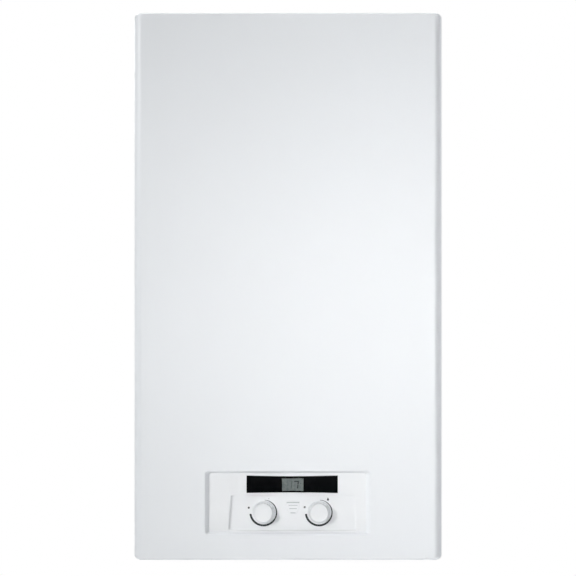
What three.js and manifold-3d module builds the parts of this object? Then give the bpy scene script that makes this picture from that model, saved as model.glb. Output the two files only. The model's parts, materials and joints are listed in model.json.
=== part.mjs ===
// Wall-hung combi boiler. Millimetres, +Z up, the front faces -Y.
// Origin: centre of the rear frame's flat back face, which lies on the wall plane y = 0.
import * as THREE from 'three';
import { mergeVertices } from 'three/addons/utils/BufferGeometryUtils.js';
import Module from 'manifold-3d';

const wasm = await Module();
wasm.setup();

// ---------- driving dimensions ----------
const CASE_W = 410;            // width over the casing
const CASE_H = 728;            // height of the front casing
const FRAME_H = 740;           // height of the rear frame
const FRONT_Y = -315;          // outer front face of the casing
const SEAM_Y = -240.6;         // rear edge of the front casing
const SIDE_FRONT_Y = -240;     // front edge of the side panels
const SHEET = 1.2;             // casing sheet
const EDGE_R = 11;             // rounded vertical edges of the casing
const CORNER_R = 6;            // rounded corners of the casing, seen from the front
const GAP = 0.3;               // gap kept between neighbouring pieces
const HX = CASE_W / 2;         // 205
const HZ = CASE_H / 2;         // 364

const FASCIA = { x0: -107.5, x1: 110, z0: -330.2, z1: -247.2, front: -309.6, back: -307, tub: 14 };
// opening of the casing over the fascia; its edge rolls inwards over side / end millimetres and depth
const APERTURE = { x0: -105.4, x1: 104.2, z0: -327.6, z1: -248.6, side: 6.2, end: 3.2, depth: 4.6, round: 2.6 };
const PANEL_FLOOR = -306.6;    // floor of the shallow recess that holds the knobs
const KNOB_Z = -301.3;
const KNOB_X = [-32.9, 41.1];  // heating, hot water
const KNOB_R = 15;             // base of a knob
const KNOB_FACE_R = 12.4;      // face of a knob
const KNOB_H = 10;             // height of a knob over the recess
const SHAFT_R = 2.3;
const BUTTON_TRAVEL = 1.5;

const FLUE = { x: 0, y: -140 };        // axis of the flue connection
const AIR_R = 50;                      // air duct, inner radius (for a 100 mm pipe)
const FLUE_R = 28;                     // flue gas bore (for a 60 mm pipe)
const FLUE_TOP = 381;

const PORT_Y = -130;                   // line of the five connections
const PORT_X = { flow: -130, hot: -65, gas: 0, cold: 65, ret: 130 };
const PORT_Z = -388;                   // their lower ends
const BLOCK_BOTTOM = -345;
const THREAD_34 = { r: 13.2, bore: 9 };   // G 3/4
const THREAD_12 = { r: 10.5, bore: 6.5 }; // G 1/2

const CHAMBER = { x: 194, y0: -60, y1: -284, z0: -72, z1: 358, t: 1.5 };
const FAN = { x: 0, y: -140, z: 285 };
const PUMP = { x: 130, y: -119, z: -232 };
const SIGHT_Z = 60;
const SLOT_X = 170, SCREW_Y = -258;
const ROUNDNESS = 0.72;                // scales the number of sides of every turned piece

// ---------- finishes ----------
const FINISH = {
  white_coat: { color: 0xf2f4f6, roughness: 0.42, metalness: 0 },
  white_plastic: { color: 0xeff0f2, roughness: 0.38, metalness: 0 },
  gloss_black: { color: 0x07070a, roughness: 0.08, metalness: 0 },
  lcd: { color: 0x8f988c, roughness: 0.3, metalness: 0 },
  galvanised: { color: 0xa9adb0, roughness: 0.45, metalness: 0.9 },
  aluminium: { color: 0xc3c6c9, roughness: 0.4, metalness: 0.9 },
  steel: { color: 0xb8babc, roughness: 0.35, metalness: 0.95 },
  copper: { color: 0xc07a4e, roughness: 0.35, metalness: 0.95 },
  brass: { color: 0xb99a55, roughness: 0.35, metalness: 0.95 },
  red_paint: { color: 0x9c2f22, roughness: 0.5, metalness: 0 },
  grey_plastic: { color: 0x6e7276, roughness: 0.6, metalness: 0 },
  black_plastic: { color: 0x1c1d1f, roughness: 0.55, metalness: 0 },
  red_plastic: { color: 0xb3261e, roughness: 0.45, metalness: 0 },
  blue_plastic: { color: 0x2456a5, roughness: 0.45, metalness: 0 },
  rubber: { color: 0x1a1a1a, roughness: 0.9, metalness: 0 },
  ceramic: { color: 0xe9e4da, roughness: 0.6, metalness: 0 },
  fibre: { color: 0xd9d2c4, roughness: 0.95, metalness: 0 },
  glass: { color: 0xcdd8d8, roughness: 0.1, metalness: 0 },
  board: { color: 0x1f6b3a, roughness: 0.5, metalness: 0 },
};

// ---------- helpers ----------
const boiler = new THREE.Group();
const groups = {};
function group(name) {
  if (!groups[name]) { groups[name] = new THREE.Group(); boiler.add(groups[name]); }
  return groups[name];
}

// a closed geometry as a solid, its shared vertices merged and its faces turned outwards
function solid(source) {
  if (source instanceof wasm.Manifold) return source;
  const bare = source.clone();
  bare.deleteAttribute('normal');
  bare.deleteAttribute('uv');
  const g = mergeVertices(bare, 1e-4);
  const p = g.attributes.position.array;
  const index = g.index.array;
  const tri = [];
  let volume = 0;
  for (let i = 0; i < index.length; i += 3) {
    const [a, b, c] = [index[i], index[i + 1], index[i + 2]];
    if (a === b || b === c || c === a) continue;
    tri.push(a, b, c);
    const [ax, ay, az, bx, by, bz, cx, cy, cz] =
      [p[3 * a], p[3 * a + 1], p[3 * a + 2], p[3 * b], p[3 * b + 1], p[3 * b + 2], p[3 * c], p[3 * c + 1], p[3 * c + 2]];
    volume += ax * (by * cz - bz * cy) + ay * (bz * cx - bx * cz) + az * (bx * cy - by * cx);
  }
  if (volume < 0) for (let i = 0; i < tri.length; i += 3) [tri[i + 1], tri[i + 2]] = [tri[i + 2], tri[i + 1]];
  return new wasm.Manifold(new wasm.Mesh({
    numProp: 3, vertProperties: new Float32Array(p), triVerts: new Uint32Array(tri),
  }));
}
function join(first, ...rest) { return rest.reduce((s, r) => s.add(solid(r)), solid(first)); }
function cut(first, ...rest) { return rest.reduce((s, r) => s.subtract(solid(r)), solid(first)); }

function toGeometry(s) {
  const m = s.getMesh();
  const g = new THREE.BufferGeometry();
  const n = m.vertProperties.length / m.numProp;
  const pos = new Float32Array(n * 3);
  for (let i = 0; i < n; i++) for (let k = 0; k < 3; k++) pos[3 * i + k] = m.vertProperties[i * m.numProp + k];
  g.setAttribute('position', new THREE.BufferAttribute(pos, 3));
  g.setIndex(new THREE.BufferAttribute(new Uint32Array(m.triVerts), 1));
  g.computeVertexNormals();
  return g;
}

function piece(groupName, name, shape, finish, position) {
  const mesh = new THREE.Mesh(toGeometry(solid(shape)), new THREE.MeshStandardMaterial(FINISH[finish]));
  mesh.name = name;
  if (position) mesh.position.set(...position);
  group(groupName).add(mesh);
  return mesh;
}

function box(x0, x1, y0, y1, z0, z1) {
  const g = new THREE.BoxGeometry(Math.abs(x1 - x0), Math.abs(y1 - y0), Math.abs(z1 - z0));
  return g.translate((x0 + x1) / 2, (y0 + y1) / 2, (z0 + z1) / 2);
}
function poly(points) { return new THREE.Shape(points.map(([a, b]) => new THREE.Vector2(a, b))); }
function roundRect(a0, b0, a1, b1, r) {
  const s = new THREE.Shape();
  s.moveTo(a0 + r, b0);
  s.lineTo(a1 - r, b0); s.absarc(a1 - r, b0 + r, r, -Math.PI / 2, 0);
  s.lineTo(a1, b1 - r); s.absarc(a1 - r, b1 - r, r, 0, Math.PI / 2);
  s.lineTo(a0 + r, b1); s.absarc(a0 + r, b1 - r, r, Math.PI / 2, Math.PI);
  s.lineTo(a0, b0 + r); s.absarc(a0 + r, b0 + r, r, Math.PI, 1.5 * Math.PI);
  return s;
}
function roundHole(shape, a, b, r, sides = 20) {
  const pts = [];
  for (let i = 0; i < sides; i++) {
    const t = -2 * Math.PI * i / sides;
    pts.push(new THREE.Vector2(a + r * Math.cos(t), b + r * Math.sin(t)));
  }
  shape.holes.push(new THREE.Path(pts));
  return shape;
}
// outline in (x, y), from z0 up to z1
function extrudeUp(shape, z0, z1, curveSegments = 2) {
  return new THREE.ExtrudeGeometry(shape, { depth: z1 - z0, bevelEnabled: false, curveSegments }).translate(0, 0, z0);
}
// outline in (x, z), from yBack forwards to yFront
function extrudeFront(shape, yBack, yFront, curveSegments = 2) {
  return new THREE.ExtrudeGeometry(shape, { depth: yBack - yFront, bevelEnabled: false, curveSegments })
    .rotateX(Math.PI / 2).translate(0, yBack, 0);
}
// outline in (y, z), from x0 to x1
function extrudeSide(shape, x0, x1, curveSegments = 2) {
  return new THREE.ExtrudeGeometry(shape, { depth: x1 - x0, bevelEnabled: false, curveSegments })
    .applyMatrix4(new THREE.Matrix4().set(0, 0, 1, 0, 1, 0, 0, 0, 0, 1, 0, 0, 0, 0, 0, 1)).translate(x0, 0, 0);
}
// profiles of [radius, height]; ring = true closes a profile that stays off the axis
function turned(profile, sides, ring) {
  sides = Math.max(8, Math.round(sides * ROUNDNESS));
  const pts = profile.map(([r, h]) => new THREE.Vector2(r, h));
  if (ring) pts.push(pts[0].clone());
  return new THREE.LatheGeometry(pts, sides);
}
const turnedUp = (profile, sides = 20, ring = false) => turned(profile, sides, ring).rotateX(Math.PI / 2);
const turnedFront = (profile, sides = 20, ring = false) => turned(profile, sides, ring).rotateX(Math.PI);
const turnedSide = (profile, sides = 20, ring = false) => turned(profile, sides, ring).rotateZ(-Math.PI / 2);
const rod = (r, h0, h1) => [[0, h0], [r, h0], [r, h1], [0, h1]];
const up = (r, x, y, z0, z1, sides = 16) => turnedUp(rod(r, z0, z1), sides).translate(x, y, 0);
const front = (r, x, z, yBack, yFront, sides = 16) => turnedFront(rod(r, -yBack, -yFront), sides).translate(x, 0, z);
const side = (r, y, z, x0, x1, sides = 16) => turnedSide(rod(r, x0, x1), sides).translate(0, y, z);

// a ring of points [x, y, z] round the aperture: u = 0 at its inner edge, u = 1 where the roll meets the flat front
function apertureRing(u, out, y, k = 3) {
  const a = APERTURE, r = a.round + 2 * u + out;
  const [x0, x1] = [a.x0 - a.side * u - out, a.x1 + a.side * u + out];
  const [z0, z1] = [a.z0 - a.end * u - out, a.z1 + a.end * u + out];
  const pts = [];
  for (const [cx, cz, t0] of [[x1 - r, z1 - r, 0], [x0 + r, z1 - r, 1], [x0 + r, z0 + r, 2], [x1 - r, z0 + r, 3]]) {
    for (let i = 0; i <= k; i++) {
      const t = (t0 + i / k) * Math.PI / 2;
      pts.push([cx + r * Math.cos(t), y, cz + r * Math.sin(t)]);
    }
  }
  return pts;
}
// a closed body through rings with the same number of points
function loft(rings) {
  const n = rings[0].length, index = [], o = (rings.length - 1) * n;
  for (let j = 0; j + 1 < rings.length; j++) {
    for (let i = 0; i < n; i++) {
      const a = j * n + i, b = j * n + (i + 1) % n;
      index.push(a, b, b + n, a, b + n, a + n);
    }
  }
  for (let i = 1; i + 1 < n; i++) index.push(0, i + 1, i, o, o + i, o + i + 1);
  const g = new THREE.BufferGeometry();
  g.setAttribute('position', new THREE.BufferAttribute(new Float32Array(rings.flat(2)), 3));
  g.setIndex(index);
  return g;
}

// a path of straight runs and rounded bends, with its steps only where it bends
class BentPath extends THREE.Curve {
  constructor(points, bend, steps = 3) {
    super();
    const v = points.map((p) => new THREE.Vector3(...p));
    this.at = [v[0]];
    this.dir = [v[1].clone().sub(v[0]).normalize()];
    for (let i = 1; i < v.length - 1; i++) {
      const inDir = v[i].clone().sub(v[i - 1]).normalize();
      const outDir = v[i + 1].clone().sub(v[i]).normalize();
      const a = v[i].clone().addScaledVector(inDir, -bend);
      const b = v[i].clone().addScaledVector(outDir, bend);
      for (let k = 0; k <= steps; k++) {
        const t = k / steps;
        this.at.push(a.clone().multiplyScalar((1 - t) ** 2).addScaledVector(v[i], 2 * t * (1 - t)).addScaledVector(b, t * t));
        this.dir.push(inDir.clone().multiplyScalar(1 - t).addScaledVector(outDir, t).normalize());
      }
    }
    this.at.push(v[v.length - 1]);
    this.dir.push(v[v.length - 1].clone().sub(v[v.length - 2]).normalize());
    this.steps = this.at.length - 1;
  }
  getPoint(t, target = new THREE.Vector3()) {
    const s = t * this.steps;
    const i = Math.min(Math.floor(s + 1e-9), this.steps - 1);
    return target.copy(this.at[i]).lerp(this.at[i + 1], s - i);
  }
  getPointAt(u, target) { return this.getPoint(u, target); }
  getTangentAt(u, target = new THREE.Vector3()) {
    return target.copy(this.dir[Math.round(u * this.steps)]);
  }
}
function pipe(points, r, bend, sides = 10) {
  const path = new BentPath(points, bend);
  const ring = [];
  for (let i = 0; i < sides; i++) ring.push([r * Math.cos(2 * Math.PI * i / sides), r * Math.sin(2 * Math.PI * i / sides)]);
  return new THREE.ExtrudeGeometry(poly(ring), { steps: path.steps, extrudePath: path });
}

// ---------- chassis ----------
{
  const c = 203;
  let frame = join(
    cut(box(-c, c, -40, 0, -362, 362), box(-c + 1.5, c - 1.5, -41, -1.5, -360.5, 360.5)),
    box(-c, c, -1.5, 0, -FRAME_H / 2, FRAME_H / 2),
    box(-161.5, 161.5, -11.5, 0, 298.5, 351.5),
  );
  frame = cut(frame, box(-160, 160, -10, 1, 300, 350),
    box(-110, -70, -13, -9, 318, 336), box(70, 110, -13, -9, 318, 336));
  piece('chassis', 'rear_frame', frame, 'galvanised');

  const rail = roundRect(-155, 304, 155, 338, 3);
  for (const x of [-130, 0, 130]) roundHole(rail, x, 316, 4.2, 12);
  piece('chassis', 'wall_bracket', join(extrudeFront(rail, 0, -2),
    box(-105, -75, -18, -1, 322, 324.5), box(-105, -75, -18, -16, 322, 333),
    box(75, 105, -18, -1, 322, 324.5), box(75, 105, -18, -16, 322, 333)), 'galvanised');

  const sheet = (s) => extrudeUp(poly([[s * HX, -2.3], [s * HX, SIDE_FRONT_Y], [s * 196.2, SIDE_FRONT_Y],
    [s * 196.2, SIDE_FRONT_Y + SHEET], [s * (HX - SHEET), SIDE_FRONT_Y + SHEET], [s * (HX - SHEET), -2.3]]), -HZ, HZ);
  piece('chassis', 'side_panel_left', sheet(-1), 'white_coat');
  piece('chassis', 'side_panel_right', sheet(1), 'white_coat');

  const top = roundHole(roundRect(-203.5, -238.5, 203.5, -2.3, 1), FLUE.x, FLUE.y, AIR_R, 28);
  piece('chassis', 'top_panel', join(extrudeUp(top, HZ - SHEET, HZ, 1),
    box(-195.5, 195.5, -238.5, -226, 361.3, 363), box(-195.5, 195.5, -252, -226, 361.3, 362.5)), 'white_coat');

  const bottom = roundRect(-203.5, -238.5, 203.5, -2.3, 1);
  for (const x of Object.values(PORT_X)) roundHole(bottom, x, PORT_Y, 17, 12);
  roundHole(bottom, 65, -180, 8, 12);
  piece('chassis', 'bottom_panel', cut(join(extrudeUp(bottom, -HZ, -HZ + SHEET, 1),
    box(-195.5, 195.5, -238.5, -226, -363, -361.3), box(-195.5, 195.5, -270, -226, -362.5, -361.3)),
  box(-SLOT_X - 2.8, -SLOT_X + 2.8, -271, SCREW_Y + 3, -365, -360),
  box(SLOT_X - 2.8, SLOT_X + 2.8, -271, SCREW_Y + 3, -365, -360)), 'galvanised');
}

// ---------- front casing and its screws ----------
{
  const shellOutline = (hx, yf, r, yb) => {
    const s = new THREE.Shape();
    s.moveTo(-hx, yb); s.lineTo(-hx, yf + r);
    s.absarc(-hx + r, yf + r, r, Math.PI, 1.5 * Math.PI);
    s.lineTo(hx - r, yf);
    s.absarc(hx - r, yf + r, r, 1.5 * Math.PI, 2 * Math.PI);
    s.lineTo(hx, yb);
    return s;
  };
  const outer = solid(extrudeUp(shellOutline(HX, FRONT_Y, EDGE_R, SEAM_Y), -HZ, HZ, 3))
    .intersect(solid(extrudeFront(roundRect(-HX - 0.01, -HZ, HX + 0.01, HZ, CORNER_R), -200, -330, 2)));
  const inner = extrudeUp(shellOutline(HX - SHEET, FRONT_Y + SHEET, EDGE_R - SHEET, SEAM_Y - SHEET), -HZ + SHEET, HZ - SHEET, 3);
  const a = APERTURE;
  const dish = [apertureRing(1, 0, FRONT_Y - 3)];
  const back = [apertureRing(1, 0.2, FRONT_Y + 0.6)];
  for (const t of [0, 28, 56, 90].map((d) => d * Math.PI / 180)) {
    const u = 1 - Math.sin(t), y = FRONT_Y + a.depth * (1 - Math.cos(t));
    const n = Math.hypot(a.depth * Math.sin(t), a.side * Math.cos(t));
    dish.push(apertureRing(u, 0, y));
    back.push(apertureRing(u, 0.2 * (1 - Math.sin(t)) + SHEET * a.depth * Math.sin(t) / n, y + SHEET * a.side * Math.cos(t) / n));
  }
  dish.push(apertureRing(0, 0, FRONT_Y + a.depth + 1));
  const casing = cut(join(cut(outer, inner), loft(back)),
    box(-196.2, 196.2, -243, -239, -HZ + SHEET, HZ - SHEET),
    loft(dish),
    up(2.6, -SLOT_X, SCREW_Y, -366, -360, 12), up(2.6, SLOT_X, SCREW_Y, -366, -360, 12));
  piece('cover', 'front_casing', casing, 'white_coat');
  const screw = () => turnedUp([[0, -367], [4.2, -367], [4.6, -366.5], [4.6, -364.3], [2, -364.3], [2, -354], [0, -353]], 12);
  piece('cover', 'casing_screw_left', screw(), 'steel', [-SLOT_X, SCREW_Y, 0]);
  piece('cover', 'casing_screw_right', screw(), 'steel', [SLOT_X, SCREW_Y, 0]);
}

// ---------- control box ----------
const shield = [[-2.3, -287.7], [15.5, -287.7], [15.1, -294], [11, -303.2], [2.2, -303.2], [-1.9, -294]];
const shieldScaled = (k) => poly(shield.map(([x, z]) => [6.6 + (x - 6.6) * k, -295.4 + (z + 295.4) * k]));
{
  const f = FASCIA;
  const body = join(extrudeFront(roundRect(-189, -350, 189, -229.5, 3), f.back, f.front, 1),
    extrudeFront(roundRect(f.x0, f.z0, f.x1, f.z1, 4), f.front + f.tub, f.front + 1, 2));
  const fascia = cut(body,
    box(-103, 105.5, f.front + 5.5, f.front + f.tub + 1, -326.2, -251),
    extrudeFront(poly([[-76.5, -278.5], [88.5, -278.5], [91, -325.2], [-80, -325.2]]), PANEL_FLOOR, f.front - 2),
    box(-55.5, 66.4, f.front + 7, f.front - 2, -275.6, -252),
    front(4.4, KNOB_X[0], KNOB_Z, f.front + 7, f.front + 1, 16), front(4.4, KNOB_X[1], KNOB_Z, f.front + 7, f.front + 1, 16),
    extrudeFront(shieldScaled(1.045), f.front + 7, f.front + 1));
  piece('controls', 'control_fascia', fascia, 'white_plastic');

  piece('controls', 'display_window', cut(box(-55.2, 66.1, f.front + 5, f.front + 0.1, -275.3, -252.3),
    box(-8.2, 20.6, f.front + 6, f.front - 1, -272.9, -255.8)), 'gloss_black');
  piece('controls', 'lcd_module', join(box(-7.9, 20.3, f.front + 9, f.front + 0.6, -272.6, -256.1),
    box(-14, 26, f.front + 11, f.front + 5.8, -275, -254)), 'lcd');

  const b = f.front + 24;        // rear face of the circuit board
  const board = join(box(-120, 125, b, b - 1.6, -340, -240),
    ...KNOB_X.flatMap((x) => [box(x - 7, x + 7, b - 1, b - 9, KNOB_Z - 7, KNOB_Z + 7), front(SHAFT_R, x, KNOB_Z, b - 8, b - 23, 12)]),
    box(2.6, 10.6, b - 1, b - 7, -299.4, -291.4), front(1.8, 6.6, -295.4, b - 6, b - 14.5, 10),
    box(-110, -60, b + 29, b - 0.5, -330, -290), box(-45, -20, b + 17, b - 0.5, -330, -255), box(0, 90, b + 13, b - 0.5, -335, -320));
  piece('controls', 'control_board', board, 'board');

  piece('controls', 'control_box_rear', cut(box(-189, 189, -245, -306.7, -350, -229.5),
    box(-186.8, 186.8, -247.2, -308, -347.8, -231.7),
    box(120, 150, -250, -275, -233, -228)), 'grey_plastic');

  const knob = () => turnedFront([[0, 2.6], [2.7, 2.6], [2.7, -8.5], [3.8, -8.5], [3.8, 0.4], [KNOB_R - 0.3, 0.4], [KNOB_R, 1],
    [KNOB_R - 0.6, 2.4], [KNOB_FACE_R + 0.7, KNOB_H - 1.2], [KNOB_FACE_R, KNOB_H - 0.3], [KNOB_FACE_R - 1, KNOB_H], [0, KNOB_H]], 24);
  piece('controls', 'heating_knob', knob(), 'white_plastic', [KNOB_X[0], PANEL_FLOOR, KNOB_Z]);
  piece('controls', 'hot_water_knob', knob(), 'white_plastic', [KNOB_X[1], PANEL_FLOOR, KNOB_Z]);
  piece('controls', 'mode_button', join(extrudeFront(shieldScaled(1), f.front + 7, f.front + 1.4), extrudeFront(shieldScaled(1.2), f.front + 7.5, f.front + 5.8)), 'white_plastic');
}

// ---------- flue connection ----------
piece('flue', 'flue_gasket', turnedUp([[AIR_R + 0.5, 364.3], [64, 364.3], [64, 366], [AIR_R + 0.5, 366]], 28, true), 'rubber', [FLUE.x, FLUE.y, 0]);
piece('flue', 'flue_collar', turnedUp([[AIR_R, 366.3], [66, 366.3], [66, 368.6], [53, 368.6], [53, FLUE_TOP], [AIR_R, FLUE_TOP]], 28, true),
  'aluminium', [FLUE.x, FLUE.y, 0]);

// ---------- room-sealed combustion chamber ----------
{
  const k = CHAMBER;
  piece('chamber', 'sealed_chamber', cut(box(-k.x, k.x, k.y0, k.y1, k.z0, k.z1),
    box(-k.x + k.t, k.x - k.t, k.y0 - k.t, k.y1 - 1, k.z0 + k.t, k.z1 - k.t),
    up(47, FLUE.x, FLUE.y, 350, 365, 28), up(12, 0, -236, -80, -60, 12),
    up(11, -155, -160, -80, -60, 12), up(11, 155, -160, -80, -60, 12)), 'galvanised');

  const lid = cut(join(
    cut(box(-195.4, 195.4, -286, -272, k.z0 - 1.4, k.z1 + 1.4), box(-194.3, 194.3, -284.4, -271, k.z0 - 0.3, k.z1 + 0.3)),
    box(-172, 172, -292, -285, -50, 336)),
  box(-170.5, 170.5, -290.5, -284, -48.5, 334.5), front(12, 0, SIGHT_Z, -288, -294, 16));
  piece('chamber', 'chamber_cover', lid, 'galvanised');
  piece('chamber', 'sight_glass', turnedFront([[0, 292.3], [17, 292.3], [17, 294.4], [15.6, 295.4], [11, 295.4], [10.4, 294.2], [0, 294.2]], 20), 'glass', [0, 0, SIGHT_Z]);

  const hood = cut(join(
    extrudeSide(poly([[-228, 168.3], [-228, 182], [-150, 220], [-116.4, 224], [-72, 224], [-72, 200], [-92, 182], [-92, 168.3]]), -112, 112),
    box(-62, 62, -116.4, -72, 220, 318)),
  extrudeSide(poly([[-226.8, 167], [-226.8, 181.3], [-149.7, 218.8], [-116.4, 222.8], [-73.2, 222.8], [-73.2, 200.5], [-93.2, 182.5], [-93.2, 167]]), -110.8, 110.8),
  box(-60.8, 60.8, -115.2, -73.2, 219, 316.8), front(FLUE_R, 0, FAN.z, -114, -118, 20));
  piece('chamber', 'flue_hood', hood, 'galvanised');

  piece('chamber', 'fan_housing', cut(join(front(58, 0, 0, 23, -23, 28), up(31, 0, 0, 40, 93, 24), side(3, 0, 60, 28, 42, 8)),
    front(54, 0, 0, 21, -21, 28), up(FLUE_R, 0, 0, 43, 94, 24),
    front(27, 0, 0, 24, 20, 20), front(5, 0, 0, -20, -24, 12)), 'aluminium', [FAN.x, FAN.y, FAN.z]);

  const blades = [];
  for (let i = 0; i < 10; i++) blades.push(box(24, 45, -0.8, 0.8, -15.5, 15.5).rotateX(Math.PI / 2).rotateY(i * Math.PI / 5));
  piece('chamber', 'fan_impeller', join(front(46, 0, 0, -15, -17, 24),
    turnedFront([[37, -16], [46, -16], [46, -14], [37, -14]], 24, true),
    front(7, 0, 0, 4, -16, 12), front(2.6, 0, 0, -15, -38, 10), ...blades), 'steel', [FAN.x, FAN.y, FAN.z]);
  piece('chamber', 'fan_motor', turnedFront([[0, 42], [3.4, 42], [3.4, 23.4], [30, 23.4], [30, 34], [33, 34], [33, 52], [30, 52], [30, 70], [26, 75], [0, 75]], 24), 'steel', [FAN.x, FAN.y, FAN.z]);

  piece('chamber', 'air_pressure_switch', join(
    turnedFront([[0, 0], [22, 0], [22, 8], [27, 8], [27, 13], [20, 13], [18, 24], [0, 24]], 20),
    side(2.6, -5, 0, -34, 0, 8)), 'black_plastic', [140, -200, 300]);
  piece('chamber', 'pressure_hose', pipe([[42.4, -140, 345], [74, -140, 345], [74, -205, 300], [105.6, -205, 300]], 3.4, 14, 8), 'rubber');

  const fins = [];
  const pitch = 16, count = 13, slot = 8;
  const x0 = -(count * pitch) / 2;
  for (let i = 0; i < count; i++) {
    fins.push([x0 + i * pitch, 120], [x0 + i * pitch + pitch - slot, 120]);
    if (i < count - 1) fins.push([x0 + i * pitch + pitch - slot, 137], [x0 + (i + 1) * pitch, 137]);
  }
  const topFins = [];
  for (let i = 0; i < count; i++) {
    topFins.push([x0 + i * pitch, 164], [x0 + i * pitch + pitch - slot, 164]);
    if (i < count - 1) topFins.push([x0 + i * pitch + pitch - slot, 147], [x0 + (i + 1) * pitch, 147]);
  }
  const comb = extrudeFront(poly([...fins, ...topFins.reverse()]), -95, -225);
  piece('chamber', 'heat_exchanger', join(comb,
    extrudeSide(roundRect(-222, 122, -98, 162, 14), 95, 134), extrudeSide(roundRect(-222, 122, -98, 162, 14), -134, x0 + 3)), 'copper');

  const wall = (x, yb, yf, t) => {
    const s = roundRect(-x, yf, x, yb, 1);
    s.holes.push(new THREE.Path([[-x + t, yf + t], [-x + t, yb - t], [x - t, yb - t], [x - t, yf + t]].map(([a, b]) => new THREE.Vector2(a, b))));
    return s;
  };
  piece('chamber', 'combustion_box', cut(extrudeUp(wall(108, -92, -228, 1.4), 0, 117.7, 1), front(10, 0, SIGHT_Z, -224, -230, 12)), 'galvanised');
  piece('chamber', 'insulation_lining', cut(extrudeUp(wall(106.2, -93.8, -226.2, 11), 0.5, 117, 1), front(8, 0, SIGHT_Z, -210, -230, 12)), 'fibre');

  const bars = [[-88, -45]];
  bars.push([88, -45]);
  for (let i = 9; i >= 0; i--) {
    const a = -88 + i * 17.6;
    bars.push([a + 17.6, -38], [a + 9.6, -38]);
    bars.push([a + 9.6, -12], [a, -12]);
  }
  piece('chamber', 'burner_bars', extrudeFront(poly(bars), -100, -220), 'steel');

  const jets = [];
  for (let i = 0; i < 10; i++) jets.push(front(2.6, -83.2 + i * 17.6, -28, -221, -232, 8));
  piece('chamber', 'burner_manifold', join(side(8, -236, -28, -92, 92, 14), up(10, 0, -236, -48, -28, 14), ...jets), 'aluminium');

  const probe = (x) => join(turnedFront([[0, 200], [1.2, 200], [1.2, 228], [3.4, 228], [3.4, 250], [2, 252], [2, 262], [0, 262]], 10).translate(x, 0, -6),
    box(x - 8, x + 8, -229.9, -228.4, -10, 22));
  piece('chamber', 'ignition_electrode', probe(-40), 'ceramic');
  piece('chamber', 'ionisation_electrode', probe(40), 'ceramic');
}

// ---------- expansion vessel ----------
{
  const shape = roundRect(-150, -40, 150, 285, 46);
  const dome = new THREE.ExtrudeGeometry(shape, { depth: 18, bevelEnabled: true, bevelThickness: 13, bevelSize: 16, bevelOffset: -16, bevelSegments: 2, curveSegments: 2 })
    .rotateX(Math.PI / 2).translate(0, -19, 0);
  piece('water', 'expansion_vessel', join(dome, extrudeFront(roundRect(-155, -45, 155, 290, 50), -26.5, -30, 2), up(7, 100, -28, -60, -30, 12)), 'red_paint');
  piece('water', 'expansion_pipe', pipe([[100, -28, -60.3], [100, -28, -120], [80, -112, -170], [80, -112, -279.7]], 5, 20, 8), 'copper');
}

// ---------- gas line ----------
piece('gas', 'gas_valve', join(box(-30, 30, -115, -178, -215, -120),
  extrudeFront(roundRect(-36, -208, 36, -128, 5), -135, -165, 2),
  front(15, -14, -148, -176, -212, 18), front(15, 14, -185, -176, -218, 18),
  up(15, 0, PORT_Y, -225, -214, 16), up(12, 0, -150, -121, -112, 14)), 'aluminium');
piece('gas', 'gas_pipe', pipe([[0, -236, -48.3], [0, -236, -92], [0, -150, -92], [0, -150, -111.7]], 7, 16, 10), 'copper');

const stub = (t, top, nut) => join(
  turnedUp([[t.bore, PORT_Z], [t.r - 0.8, PORT_Z], [t.r, PORT_Z + 1], [t.r, PORT_Z + 20], [t.r - 2, PORT_Z + 20], [t.r - 2, top], [t.bore, top]], 20, true),
  new THREE.CylinderGeometry(t.r + 3, t.r + 3, 10, 6).rotateX(Math.PI / 2).translate(0, 0, nut)).subtract(
  solid(up(t.bore, 0, 0, PORT_Z - 1, top + 1, 20)));
piece('ports', 'gas_stub', stub(THREAD_34, -225.3, -353), 'brass', [PORT_X.gas, PORT_Y, 0]);
piece('ports', 'heating_flow_stub', stub(THREAD_34, BLOCK_BOTTOM - GAP, -353), 'brass', [PORT_X.flow, PORT_Y, 0]);
piece('ports', 'hot_water_stub', stub(THREAD_12, BLOCK_BOTTOM - GAP, -353), 'brass', [PORT_X.hot, PORT_Y, 0]);
piece('ports', 'cold_water_stub', stub(THREAD_12, BLOCK_BOTTOM - GAP, -353), 'brass', [PORT_X.cold, PORT_Y, 0]);
piece('ports', 'heating_return_stub', stub(THREAD_34, BLOCK_BOTTOM - GAP, -353), 'brass', [PORT_X.ret, PORT_Y, 0]);

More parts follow.
